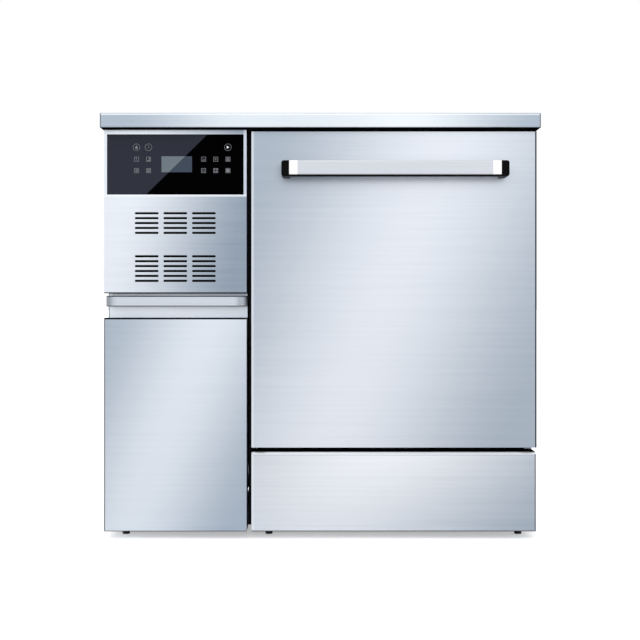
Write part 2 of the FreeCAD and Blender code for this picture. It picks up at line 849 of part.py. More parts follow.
# Wash chamber: sheet wrapped into a tub, with a back wall and a front frame for the gasket welded on
def make_chamber():
    x0 = chamber_left_x
    x1 = chamber_right_x
    z0 = chamber_floor_z
    z1 = chamber_top_z
    outer = rounded_block(x0 - sheet, x1 + sheet, post_front_y, chamber_back_y, z0 - sheet, z1 + sheet,
                          chamber_corner + sheet, "Y")
    inner = rounded_block(x0, x1, carcass_y, chamber_back_y, z0, z1, chamber_corner, "Y")
    holes = [faceted((module_x, sump_y, z0 - sheet), (module_x, sump_y, z0), sump_mouth_radius, mouth_sides),
             faceted((module_x, chamber_mid_y, z0 - sheet), (module_x, chamber_mid_y, z0),
                     pipe_radius + seat_gap, wire_sides),
             faceted((x0 - sheet, duct_y, duct_z), (x0, duct_y, duct_z), duct_radius + seat_gap, drum_sides)]
    wrap = outer.cut([inner] + holes)
    back = block(x0 - sheet, x1 + sheet, chamber_back_y, chamber_back_y + sheet, z0 - sheet, z1 + sheet)
    ports = [faceted((module_x, chamber_back_y, z), (module_x, chamber_back_y + sheet, z),
                     docking_radius + seat_gap, wire_sides) for z in (lower_docking_z, upper_docking_z)]
    ports += [faceted((x, chamber_back_y, heater_z), (x, chamber_back_y + sheet, heater_z),
                      heater_radius + seat_gap, wire_sides) for x in heater_xs]
    flange = block(x0 - chamber_flange, x1 + chamber_flange, carcass_y, post_front_y,
                   z0 - chamber_flange + 1, z1 + chamber_flange)
    save("wash_chamber", wrap, back.cut(ports), flange.cut(inner))


def make_insulation():
    x0 = chamber_left_x - sheet
    x1 = chamber_right_x + sheet
    y0 = post_front_y + post_depth
    z0 = chamber_floor_z + chamber_corner
    z1 = chamber_top_z - chamber_corner
    left = block(x0 - insulation, x0, y0, chamber_back_y, z0, z1)
    hole = faceted((x0 - insulation, duct_y, duct_z), (x0, duct_y, duct_z), duct_radius + seat_gap, drum_sides)
    right = block(x1, x1 + insulation, y0, chamber_back_y, z0, z1)
    top = block(x0 + chamber_corner, x1 - chamber_corner, y0, chamber_back_y, chamber_top_z + sheet,
                chamber_top_z + sheet + insulation)
    save("chamber_insulation", left.cut(hole), right, top)


def make_gasket():
    reach = gasket_inset + gasket_width
    x0 = chamber_left_x - reach
    x1 = chamber_right_x + reach
    z0 = chamber_floor_z - reach
    z1 = chamber_top_z + reach
    y0 = front_back_y + seat_gap
    outer = rounded_block(x0, x1, y0, carcass_y, z0, z1, chamber_corner + gasket_width, "Y")
    inner = rounded_block(x0 + gasket_width, x1 - gasket_width, y0, carcass_y, z0 + gasket_width,
                          z1 - gasket_width, chamber_corner, "Y")
    save("chamber_gasket", outer.cut(inner))


# Sump: round bowl under the chamber floor with a square well below it
def sump_hole(side, radius):
    far = sump_well / 2 + 2 * sump_wall
    return faceted((module_x, sump_y, pump_axis_z), (module_x + side * far, sump_y, pump_axis_z), radius, pipe_sides)


def make_sump():
    centre = (module_x, sump_y)
    step_z = sump_top_z - sump_bowl_depth
    bottom_z = sump_top_z - sump_depth
    half = sump_well / 2
    rim = faceted((*centre, sump_top_z - sump_wall), (*centre, sump_top_z), sump_mouth_radius + sump_rim,
                  mouth_sides)
    bowl = faceted((*centre, step_z), (*centre, sump_top_z), sump_mouth_radius + sump_wall, mouth_sides)
    well = block(module_x - half - sump_wall, module_x + half + sump_wall, sump_y - half - sump_wall,
                 sump_y + half + sump_wall, bottom_z, step_z)
    hollow = faceted((*centre, step_z + sump_wall), (*centre, sump_top_z), sump_mouth_radius, mouth_sides)
    deep = block(module_x - half, module_x + half, sump_y - half, sump_y + half, bottom_z + sump_wall,
                 step_z + sump_wall)
    holes = [sump_hole(1, suction_radius), sump_hole(-1, drain_radius)]
    save("sump_housing", fused([rim, bowl, well]).cut([hollow, deep] + holes))


# Strainer: slotted plate and cup that lift out of the sump
def make_strainer():
    centre = V(module_x, sump_y, 0)
    top = sump_top_z - strainer_drop
    low = sump_top_z - sump_depth + strainer_cup_bottom
    cup_r = strainer_cup_radius
    plate_r = sump_mouth_radius - strainer_fit
    cup = faceted((*centre[:2], low), (*centre[:2], top), cup_r, wire_sides)
    disc = faceted((*centre[:2], top - sheet), (*centre[:2], top), plate_r, mouth_sides)
    hollow = faceted((*centre[:2], low + sheet), (*centre[:2], top), cup_r - sheet, wire_sides)
    cuts = [hollow]
    half = strainer_slot_width / 2
    ray = strainer_ray_width / 2
    for i in range(strainer_slots):
        slot = block(cup_r - 2 * half, cup_r + half, -half, half, low + strainer_slot_margin,
                     top - strainer_slot_margin)
        gap = block(cup_r + strainer_ray_margin, plate_r - strainer_ray_margin, -ray, ray, top - sheet, top)
        for cutter in (slot, gap):
            spun(cutter, 360.0 * i / strainer_slots, (0, 0, 0), (0, 0, 1)).translate(centre)
            cuts.append(cutter)
    grip = block(module_x - strainer_grip / 2, module_x + strainer_grip / 2, sump_y - cup_r, sump_y + cup_r, top,
                 top + strainer_grip_height)
    save("sump_strainer", cup.fuse(disc).cut(cuts).fuse(grip))


# Heating element: bent tube just over the chamber floor
def make_heater():
    left, right = heater_xs
    back = chamber_back_y + heater_tail
    front = chamber_mid_y + heater_front_offset
    element = pipe([(left, back, heater_z), (left, front, heater_z), (right, front, heater_z),
                    (right, back, heater_z)], heater_bend, heater_radius, wire_sides)
    caps = [faceted((x, chamber_back_y + sheet, heater_z), (x, chamber_back_y + heater_cap, heater_z),
                    heater_cap_radius, pipe_sides) for x in heater_xs]
    save("heating_element", fused([element] + caps))


# Circulation pump: volute with its outlet, impeller and motor
def make_pump():
    axis = (sump_y, pump_axis_z)
    x0 = pump_x
    x1 = pump_x + pump_casing_length
    wall = pump_casing_wall
    well_x = module_x + sump_well / 2
    volute = faceted((x0, *axis), (x1, *axis), pump_casing_radius, drum_sides)
    suction = faceted((well_x, *axis), (x0 + wall, *axis), suction_radius, pipe_sides)
    outlet = faceted((riser_x, outlet_y, pump_axis_z), (riser_x, outlet_y, outlet_z), pipe_radius, wire_sides)
    cavity = faceted((x0 + wall, *axis), (x1 - wall, *axis), pump_casing_radius - wall, drum_sides)
    eye = faceted((well_x, *axis), (x0 + wall, *axis), suction_radius - pipe_wall, pipe_sides)
    bore = faceted((riser_x, outlet_y, pump_axis_z), (riser_x, outlet_y, outlet_z), pipe_radius - pipe_wall,
                   wire_sides)
    seal = rod((x1 - wall, *axis), (x1, *axis), pump_shaft_radius + running_clearance)
    save("pump_casing", fused([volute, suction, outlet]).cut([cavity, eye, bore, seal]))

    motor_x = x1 + pump_motor_gap
    motor_end = motor_x + pump_motor_length
    frame = faceted((motor_x, *axis), (motor_end, *axis), pump_motor_radius, drum_sides)
    cowl = faceted((motor_end, *axis), (motor_end + pump_cowl_length, *axis), pump_motor_radius - pump_cowl_step,
                   drum_sides)
    fins = []
    for i in range(pump_fin_count):
        lean = (i - (pump_fin_count - 1) / 2) * pump_fin_angle
        fin = block(motor_x + pump_fin_inset, motor_end - pump_fin_inset, -plate / 2, plate / 2, 0,
                    pump_motor_radius + pump_fin_height)
        spun(fin, lean, (0, 0, 0), (1, 0, 0)).translate(V(0, *axis))
        fins.append(fin)
    foot = block(motor_x + pump_foot_inset, motor_end - pump_foot_inset, sump_y - pump_foot_half,
                 sump_y + pump_foot_half, frame_top_z + sheet, pump_axis_z)
    shaft_hole = rod((motor_x, *axis), (motor_x + pump_shaft_depth, *axis), pump_shaft_radius + running_clearance)
    save("pump_motor", fused([frame, cowl, foot] + fins).cut(shaft_hole))

    blade_x = x0 + wall + impeller_end_gap
    disc_x = blade_x + impeller_blade_length
    disc = faceted((disc_x, *axis), (disc_x + impeller_disc, *axis), impeller_radius, drum_sides)
    hub = faceted((blade_x + impeller_end_gap, *axis), (disc_x, *axis), impeller_hub_radius, pipe_sides)
    shaft = rod((disc_x, *axis), (motor_x + pump_shaft_depth - pump_shaft_end_gap, *axis), pump_shaft_radius)
    blades = []
    inner = impeller_hub_radius - 2.0
    for i in range(impeller_blade_count):
        blade = block(blade_x, disc_x, inner, impeller_radius - 2.0, -plate / 2, plate / 2)
        spun(blade, impeller_blade_angle, (blade_x, inner, 0), (1, 0, 0))
        spun(blade, 360.0 * i / impeller_blade_count, (0, 0, 0), (1, 0, 0)).translate(V(0, *axis))
        blades.append(blade)
    save("pump_impeller", fused([disc, hub, shaft] + blades))


# Drain pump and the pipe to its outlet spigot
def make_drain():
    axis = (sump_y, pump_axis_z)
    x1 = module_x - sump_well / 2
    body_x1 = x1 - drain_neck
    body_x0 = body_x1 - drain_body_length
    motor_x0 = body_x0 - drain_motor_length
    half = drain_motor_half
    neck = faceted((body_x1, *axis), (x1, *axis), drain_radius, pipe_sides)
    body = faceted((body_x0, *axis), (body_x1, *axis), drain_body_radius, drum_sides)
    motor = block(motor_x0, body_x0, sump_y - half, sump_y + half, pump_axis_z - half, pump_axis_z + half)
    foot = block(motor_x0, body_x0, sump_y - drain_foot_half, sump_y + drain_foot_half, frame_top_z + sheet,
                 pump_axis_z)
    save("drain_pump", fused([neck, body, motor, foot]))
    start = (drain_x, sump_y + drain_body_radius + seat_gap, pump_axis_z)
    at_panel = (drain_x, rear_panel_y, pump_axis_z)
    end = (drain_x, drain_end_y, pump_axis_z)
    run = faceted(start, at_panel, drain_spigot_radius + neck_step, wire_sides)
    spigot = rod(at_panel, end, drain_spigot_radius)
    half = drain_collar / 2
    collar = block(drain_x - half, drain_x + half, rear_inner_y - drain_collar_thickness, rear_inner_y,
                   pump_axis_z - half, pump_axis_z + half)
    bore = faceted(start, end, drain_spigot_radius - pipe_wall, wire_sides)
    save("drain_pipe", fused([run, spigot, collar]).cut(bore))


# Riser: from the pump outlet up the back of the chamber, with the arm feed and docking stubs
def make_riser():
    bend_z = outlet_z + pipe_bend + pipe_wall
    path = [(riser_x, outlet_y, outlet_z), (riser_x, outlet_y, bend_z), (riser_x, riser_y, bend_z),
            (module_x, riser_y, bend_z), (module_x, riser_y, riser_top_z)]
    closed = path[:-1] + [(module_x, riser_y, riser_top_z - pipe_wall)]
    feed = [(riser_x, chamber_mid_y, bend_z), (module_x, chamber_mid_y, bend_z),
            (module_x, chamber_mid_y, chamber_floor_z)]
    outers = [pipe(path, pipe_bend, pipe_radius, wire_sides), pipe(feed, arm_feed_bend, pipe_radius, wire_sides)]
    inners = [pipe(closed, pipe_bend, pipe_radius - pipe_wall, wire_sides),
              pipe(feed, arm_feed_bend, pipe_radius - pipe_wall, wire_sides)]
    for z in (lower_docking_z, upper_docking_z):
        start = (module_x, riser_y, z)
        end = (module_x, docking_y, z)
        outers.append(faceted(start, end, docking_radius, wire_sides))
        inners.append(faceted(start, end, docking_radius - pipe_wall, wire_sides))
    save("riser_pipe", fused(outers).cut(fused(inners)))


# Spray arms: tapered blade with a boss that turns on the feed post, and jets let into one face
def spray_arm(mid_z, jets_up):
    x = module_x
    y = chamber_mid_y
    z0 = mid_z - arm_thickness / 2
    half = arm_length / 2
    tip = arm_tip_width / 2
    waist = arm_width / 2
    end = half - tip
    edges = []
    for side in (1, -1):
        inner_a = V(x, y - side * waist, z0)
        outer_a = V(x + side * end, y - side * tip, z0)
        outer_b = V(x + side * end, y + side * tip, z0)
        inner_b = V(x, y + side * waist, z0)
        edges.append(Part.LineSegment(inner_a, outer_a).toShape())
        edges.append(Part.Arc(outer_a, V(x + side * half, y, z0), outer_b).toShape())
        edges.append(Part.LineSegment(outer_b, inner_b).toShape())
    blade = Part.Face(Part.Wire(edges)).extrude(V(0, 0, arm_thickness))
    low = (x, y, mid_z - arm_boss_half)
    high = (x, y, mid_z + arm_boss_half)
    boss = faceted(low, high, arm_boss_radius, pipe_sides)
    bore = rod(low, high, arm_post_radius + running_clearance)
    jets = []
    face_z = mid_z + arm_thickness / 2 if jets_up else z0
    for i in range(arm_jet_count):
        for side in (-1, 1):
            out = arm_length * (arm_jet_first_share + arm_jet_pitch_share * i) + max(side, 0) * arm_jet_stagger
            jet_x = x + side * out
            jets.append(block(jet_x - arm_jet_length / 2, jet_x + arm_jet_length / 2, y - arm_jet_width / 2,
                              y + arm_jet_width / 2, face_z - arm_jet_depth, face_z + arm_jet_depth))
    return fused([blade, boss]).cut([bore] + jets)


def make_arms():
    save("lower_spray_arm", spray_arm(lower_arm_z, True))
    save("upper_spray_arm", spray_arm(upper_arm_z, False))
    # fixed post of the lower arm: floor flange, post and screwed nut
    spot = (module_x, chamber_mid_y)
    nut_z = lower_arm_z + arm_boss_half + seat_gap
    flange = faceted((*spot, chamber_floor_z), (*spot, chamber_floor_z + plate), arm_post_flange, pipe_sides)
    post = rod((*spot, chamber_floor_z), (*spot, nut_z), arm_post_radius)
    nut = faceted((*spot, nut_z), (*spot, nut_z + arm_nut_height), arm_nut_radius, 6)
    save("lower_arm_post", fused([flange, post, nut]))


# Racks: flat bar frame with a wire rail round the top, and a wire floor in the upper one
def rack_frame(mid_z, top_rise, with_floor):
    x0 = rack_left_x
    x1 = rack_right_x
    y0 = rack_front_y
    y1 = rack_back_y
    z0 = mid_z - slide_height / 2
    z1 = mid_z + slide_height / 2
    inner0 = x0 + rack_bar
    inner1 = x1 - rack_bar
    solids = [block(x0, inner0, y0, y1, z0, z1), block(inner1, x1, y0, y1, z0, z1),
              block(inner0, inner1, y0, y0 + rack_bar, z0, z1), block(inner0, inner1, y1 - rack_bar, y1, z0, z1)]

    def wire(start, end):
        solids.append(faceted(start, end, wire_radius, wire_sides))

    ring_z = z1 + top_rise
    edge = wire_radius * math.cos(math.pi / wire_sides)
    side_wires = (x0 + edge, x1 - edge)
    for x in side_wires:
        wire((x, y0, ring_z), (x, y1, ring_z))
        for i in range(rack_side_posts):
            y = y0 + edge + (y1 - y0 - 2 * edge) * i / (rack_side_posts - 1)
            wire((x, y, z1), (x, y, ring_z - edge))
    for y in (y0 + edge, y1 - edge):
        wire((x0 + 2 * edge, y, ring_z), (x1 - 2 * edge, y, ring_z))
    if with_floor:
        low_z = z0 + rack_floor_rise
        high_z = low_z + 2 * edge + wire_gap
        y_in0 = y0 + rack_bar
        y_in1 = y1 - rack_bar
        for i in range(rack_wires_along):
            x = inner0 + (inner1 - inner0) * (i + 0.5) / rack_wires_along
            wire((x, y_in0, low_z), (x, y_in1, low_z))
        for i in range(rack_wires_across):
            y = y_in0 + (y_in1 - y_in0) * (i + 0.5) / rack_wires_across
            wire((inner0, y, high_z), (inner1, y, high_z))
    return solids


def make_racks():
    fixed = []
    for name, mid_z, rise, floor in (("upper_rack_frame", upper_rail_z, rack_side_height, True),
                                     ("lower_rack_frame", lower_rail_z, rack_side_height / 2, False)):
        channels, bars = slide_pair(chamber_left_x, chamber_right_x, mid_z, carcass_y + slide_inset,
                                    chamber_back_y - slide_inset, rack_front_y)
        fixed += channels
        save(name, *rack_frame(mid_z, rise, floor), *bars)
    return fixed


# Upper rack feed: pipe from the rear docking port to the post that the upper arm hangs on
def make_upper_feed():
    x = module_x
    y = chamber_mid_y
    z = upper_docking_z
    end_z = upper_arm_z - arm_boss_half - seat_gap
    start_y = docking_y - seat_gap
    elbow = pipe([(x, start_y, z), (x, y, z), (x, y, z - feed_bend - pipe_wall)], feed_bend, arm_post_radius,
                 wire_sides)
    post = rod((x, y, end_z), (x, y, z - feed_bend), arm_post_radius)
    collar = faceted((x, start_y - docking_collar_length, z), (x, start_y, z), docking_radius + docking_collar,
                     wire_sides)
    nut = faceted((x, y, end_z - arm_nut_height), (x, y, end_z), arm_nut_radius, 6)
    save("upper_rack_feed", fused([elbow, post, collar, nut]))


# Injector manifold: spine and cross tubes that carry the upright nozzles
def make_injectors():
    half = manifold_size / 2
    tube = manifold_tube
    z = lower_docking_z
    solids = [block(module_x - half, module_x + half, rack_front_y, docking_y - seat_gap, z - half, z + half)]
    side_x0 = rack_left_x + rack_bar + manifold_end_gap
    side_x1 = rack_right_x - rack_bar - manifold_end_gap
    reach = side_x1 - module_x - half
    pitch_y = (rack_back_y - rack_front_y) / nozzle_rows
    nozzles = []
    for row in range(nozzle_rows):
        y = rack_front_y + (row + 0.5) * pitch_y
        solids.append(block(side_x0, module_x - half, y - tube, y + tube, z - tube, z + tube))
        solids.append(block(module_x + half, side_x1, y - tube, y + tube, z - tube, z + tube))
        for side in (-1, 1):
            for i in range(nozzles_per_side):
                x = module_x + side * (half + reach * (i + nozzle_first_share) / nozzles_per_side)
                nozzles.append(faceted((x, y, z + tube), (x, y, z + tube + nozzle_height), nozzle_radius,
                                       wire_sides))
    save("injector_manifold", *solids)
    save("injector_nozzles", *nozzles)


# Door: folded outer skin and pressed inner liner
def make_door():
    skin = pan(door_left_x, front_right_x, front_y, front_back_y - sheet, door_bottom_z, door_top_z)
    half = hinge_notch_width / 2
    notches = [block(x - half, x + half, front_y + sheet, front_back_y, door_bottom_z, hinge_z + hinge_inset)
               for x in hinge_xs]
    save("door_skin", skin.cut(notches))
    liner = block(door_left_x, front_right_x, front_back_y - sheet, front_back_y, door_bottom_z, door_top_z)
    x0 = chamber_left_x + door_pan_margin
    x1 = chamber_right_x - door_pan_margin
    z0 = chamber_floor_z + door_pan_margin
    z1 = chamber_top_z - door_pan_margin
    outside = block(x0 - sheet, x1 + sheet, front_back_y - door_pan_depth - sheet, front_back_y, z0 - sheet,
                    z1 + sheet)
    hollow = rounded_block(x0, x1, front_back_y - door_pan_depth, front_back_y, z0, z1, door_pan_corner, "Y")
    save("door_liner", liner.fuse(outside).cut([hollow] + notches))


# Door handle: steel bar between black end posts, on a black strip that runs under it
def make_door_handle():
    x0 = module_x - door_handle_length / 2
    x1 = module_x + door_handle_length / 2
    z1 = door_top_z - door_handle_below_top
    z0 = z1 - door_handle_height
    y0 = handle_front_y
    y1 = handle_front_y + door_handle_bar
    solids = []
    for outer_x, inner_x in ((x0, x0 + door_handle_post), (x1, x1 - door_handle_post)):
        post = block(min(outer_x, inner_x), max(outer_x, inner_x), y0, front_y, z0, z1)
        corners = [e for e in post.Edges
                   if abs(e.CenterOfMass.x - outer_x) < 0.01 and abs(e.CenterOfMass.y - (y0 + front_y) / 2) < 0.01]
        solids.append(post.makeFillet(door_handle_corner, corners))
    left = x0 + door_handle_post
    right = x1 - door_handle_post
    bar = block(left, right, y0, y1, z0 + door_handle_strip, z1)
    front_edges = [e for e in bar.Edges
                   if abs(e.CenterOfMass.y - y0) < 0.01 and abs(e.CenterOfMass.x - module_x) < 0.01]
    solids.append(bar.makeFillet(door_handle_edge, front_edges))
    solids.append(block(left, right, y0 + door_handle_edge / 2, y1, z0, z0 + door_handle_strip))
    save("door_handle", *solids)


# Door hinges: ears in the door, pins with squared ends, and arms bolted to the front crossbeam
def make_hinges():
    half = hinge_notch_width / 2
    square = hinge_pin_square / 2
    axis = (hinge_y, hinge_z)
    ears = []
    pins = []
    arms = []
    for x in hinge_xs:
        pin = [rod((x - half, *axis), (x + half, *axis), hinge_pin_radius - running_clearance)]
        for near in (x - half - plate, x + half):
            ear = block(near, near + plate, front_y + sheet, front_back_y - sheet, door_bottom_z + sheet,
                        hinge_z + hinge_ear_rise)
            end = block(near, near + plate, hinge_y - square, hinge_y + square, hinge_z - square, hinge_z + square)
            ears.append(ear.cut(end))
            pin.append(end)
        pins.append(fused(pin))
        a = x - hinge_arm_width / 2
        b = x + hinge_arm_width / 2
        boss = faceted((a, *axis), (b, *axis), hinge_boss_radius, pipe_sides)
        bar = block(a, b, hinge_y, post_front_y, hinge_z - hinge_boss_radius + 1.0, hinge_z + hinge_boss_radius - 1.0)
        foot = block(x - hinge_arm_foot / 2, x + hinge_arm_foot / 2, post_front_y - plate, post_front_y,
                     crossbeam_z + 1.0, cradle_z)
        arms.append(fused([boss, bar, foot]).cut(rod((a, *axis), (b, *axis), hinge_pin_radius)))
    save("door_hinge_plates", *ears)
    save("door_hinge_pins", *pins)
    save("hinge_arms", *arms)


# Door lock: hooked striker on the door, housing and sliding bolt under the worktop
def make_lock():
    x = module_x
    z0 = lock_z
    half = striker_width / 2
    end_y = front_back_y + striker_reach
    base_z = z0 + plate
    base = block(x - half, x + half, front_back_y, end_y, base_z, base_z + plate)
    lip = block(x - half, x + half, end_y - plate, end_y, base_z + plate, base_z + plate + striker_lip)
    save("door_striker", fused([base, lip]))
    back = post_front_y + post_depth - post_width
    housing = block(x - lock_housing_left, x + lock_housing_right, carcass_y, back, z0, z0 + lock_housing_height)
    cavity = block(x - lock_cavity_half, x + lock_cavity_half, carcass_y, end_y + 2.0, z0 + sheet,
                   z0 + lock_housing_height - plate)
    bolt_right = x - lock_cavity_half - 1.0
    bolt_left = bolt_right - lock_bolt_length
    bolt_z = z0 + lock_bolt_rise
    play = lock_bolt_clearance
    tunnel = block(bolt_left - lock_tunnel_end, x - lock_cavity_half, lock_bolt_y - play,
                   lock_bolt_y + lock_bolt_size + play, bolt_z - play, bolt_z + lock_bolt_size + play)
    save("lock_housing", housing.cut([cavity, tunnel]))
    save("lock_bolt", block(bolt_left, bolt_right, lock_bolt_y, lock_bolt_y + lock_bolt_size, bolt_z,
                            bolt_z + lock_bolt_size))


# Chemicals drawer: folded front, set-back panel, bar handle, tray and its slides
def make_drawer():
    front = pan(front_left_x, left_front_right_x, front_y, front_back_y, floor_clearance, drawer_front_top_z)
    save("drawer_front", front)
    left = front_left_x + drawer_panel_inset
    right = left_front_right_x - drawer_panel_inset
    save("drawer_back_panel", block(left, right, front_back_y, front_back_y + sheet, frame_bottom,
                                    fascia_bottom_z - drawer_panel_top_gap))
    handle_z1 = fascia_bottom_z - drawer_handle_from_fascia
    save("drawer_handle", bow_bar(left, right, front_y, front_back_y, handle_z1 - drawer_handle_height, handle_z1,
                                  drawer_handle_bar, drawer_handle_bend))
    slide_y0 = post_front_y + tray_slide_setback
    slide_y1 = tray_y0 + tray_depth
    fixed, moving = slide_pair(tray_left_x, partition_left_x, tray_floor_z + tray_slide_rise, slide_y0, slide_y1,
                               slide_y0)
    save("drawer_slides_moving", *moving)
    x0 = tray_left_x + slide_depth + slide_clearance
    x1 = partition_left_x - slide_depth - slide_clearance
    z1 = tray_floor_z + tray_wall_height
    tray = block(x0, x1, tray_y0, slide_y1, tray_floor_z, z1)
    hollow = block(x0 + sheet, x1 - sheet, tray_y0 + sheet, slide_y1 - sheet, tray_floor_z + sheet, z1)
    save("drawer_tray", tray.cut(hollow))
    return fixed


# Canisters: blow-moulded bodies with a grip, a sloping shoulder and an off-centre neck, and their caps
def make_canisters():
    mid_x = (tray_left_x + partition_left_x) / 2
    x0 = mid_x - canister_width / 2
    x1 = mid_x + canister_width / 2
    z0 = tray_floor_z + sheet
    z1 = z0 + canister_height
    slope_x, slope_z = canister_shoulder
    bodies = []
    caps = []
    for i in range(canister_count):
        y0 = tray_y0 + canister_from_front + i * (canister_depth + canister_gap)
        y1 = y0 + canister_depth
        y = (y0 + y1) / 2
        body = rounded_block(x0, x1, y0, y1, z0, z1, canister_corner, "Z")
        shoulder = extruded([(x1 - slope_x, y0, z1), (x1, y0, z1), (x1, y0, z1 - slope_z)], (0, canister_depth, 0))
        grip = block(mid_x - canister_grip_left, mid_x + canister_grip_right, y0, y1, z1 - canister_grip_bottom,
                     z1 - canister_grip_top)
        neck_x = x0 + canister_neck_inset
        cap_z = z1 + canister_neck_height
        neck = faceted((neck_x, y, z1), (neck_x, y, cap_z), canister_neck_radius, pipe_sides)
        bodies.append(fused([body.cut([shoulder, grip]), neck]))
        top_z = cap_z + cap_height
        cap = faceted((neck_x, y, cap_z), (neck_x, y, top_z), canister_neck_radius + cap_overlap, drum_sides)
        lance = faceted((neck_x, y, top_z), (neck_x, y, top_z + lance_height), lance_radius, 6)
        caps.append(fused([cap, lance]))
    save("canisters", *bodies)
    save("lance_caps", *caps)


# Dosing pumps: roller heads on the partition wall behind the drawer
def make_dosing():
    wall_x = partition_left_x
    front_x = wall_x - dosing_depth
    back_x = front_x + dosing_cavity_depth
    housings = []
    for i in range(dosing_count):
        z = dosing_first_z + i * dosing_pitch
        axis = (dosing_y, z)
        body = block(front_x, wall_x, dosing_y - dosing_half_width, dosing_y + dosing_half_width,
                     z - dosing_below_axis, z + dosing_half_width)
        cavity = faceted((front_x, *axis), (back_x, *axis), dosing_cavity_radius, drum_sides)
        bore = rod((back_x, *axis), (back_x + dosing_shaft_depth, *axis), dosing_shaft_radius + running_clearance)
        housings.append(body.cut([cavity, bore]))
        rotor_x = front_x + dosing_end_gap
        rotor_end = rotor_x + dosing_rotor_depth
        hub = faceted((rotor_x, *axis), (rotor_end, *axis), dosing_hub_radius, pipe_sides)
        shaft = rod((rotor_end, *axis), (back_x + dosing_shaft_depth - 1.0, *axis), dosing_shaft_radius)
        rollers = []
        for k in range(dosing_roller_count):
            turn = 2 * math.pi * k / dosing_roller_count
            y = dosing_y + dosing_roller_orbit * math.cos(turn)
            roller_z = z + dosing_roller_orbit * math.sin(turn)
            rollers.append(faceted((rotor_x, y, roller_z), (rotor_end, y, roller_z), dosing_roller_radius,
                                   wire_sides))
        save("dosing_rotor_" + str(i + 1), fused([hub, shaft] + rollers))
    save("dosing_pump_housings", *housings)


# Drying unit: blower, filter housing and duct into the chamber
def make_drying():
    floor_z = shelf_z + sheet
    x0 = blower_x
    x1 = blower_x + blower_width
    wall = blower_wall
    axis = (blower_y, blower_z)
    r = blower_radius
    top = r * math.cos(math.pi / drum_sides)
    throat_z = blower_z + r - blower_throat
    drum = faceted((x0, *axis), (x1, *axis), r, drum_sides)
    throat = block(x0, x1, filter_y1, blower_y, throat_z, blower_z + top)
    stand = block(x0 + blower_stand_inset, x1 - blower_stand_inset, blower_y - blower_stand_half,
                  blower_y + blower_stand_half, floor_z, blower_z)
    motor = faceted((x1, *axis), (x1 + blower_motor_length, *axis), blower_motor_radius, drum_sides)
    hollow = faceted((x0 + wall, *axis), (x1 - wall, *axis), r - wall, drum_sides)
    bore = block(x0 + wall, x1 - wall, filter_y1, blower_y, throat_z + wall, blower_z + top - wall)
    inlet = faceted((x0, *axis), (x0 + wall, *axis), blower_inlet_radius, drum_sides)
    shaft_hole = rod((x1 - wall, *axis), (x1 + blower_shaft_depth, *axis), blower_shaft_radius + running_clearance)
    save("blower_casing", fused([drum, throat, stand, motor]).cut([hollow, bore, inlet, shaft_hole]))

    wheel_r = r - blower_wheel_gap
    disc_x = x1 - blower_disc_from_wall
    blade_x1 = disc_x - blower_disc
    disc = faceted((blade_x1, *axis), (disc_x, *axis), wheel_r, drum_sides)
    hub = faceted((blade_x1 - blower_hub_length, *axis), (blade_x1, *axis), blower_hub_radius, pipe_sides)
    shaft = rod((disc_x, *axis), (x1 + blower_shaft_depth - blower_shaft_end_gap, *axis), blower_shaft_radius)
    blades = []
    half = blower_blade_thickness / 2
    mid_r = wheel_r - blower_blade_width / 2 - 1.0
    for i in range(blower_blade_count):
        blade = block(x0 + blower_blade_inset, blade_x1, mid_r - blower_blade_width / 2,
                      mid_r + blower_blade_width / 2, -half, half)
        spun(blade, blower_blade_angle, (0, mid_r, 0), (1, 0, 0))
        spun(blade, 360.0 * i / blower_blade_count, (0, 0, 0), (1, 0, 0)).translate(V(0, *axis))
        blades.append(blade)
    save("blower_wheel", fused([disc, hub, shaft] + blades))

    box_x0 = left_mid_x - filter_half_width
    box_x1 = left_mid_x + filter_half_width
    top_z = under_top_z - filter_top_gap
    lip = filter_lid_lip
    housing = block(box_x0, box_x1, filter_y0, filter_y1, floor_z, top_z)
    lid = block(box_x0 - lip, box_x1 + lip, filter_y0 - lip, filter_y1, top_z, top_z + filter_lid)
    start = (box_x1, duct_y, duct_z)
    end = (chamber_left_x + duct_reach, duct_y, duct_z)
    duct = faceted(start, end, duct_radius, drum_sides)
    duct_bore = faceted(start, end, duct_radius - blower_wall, drum_sides)
    save("filter_housing", housing, lid, duct.cut(duct_bore))


# Rear connections: three water valves and the cable gland
def valve_xs():
    return [front_left_x + valve_from_left + i * valve_pitch for i in range(valve_count)]


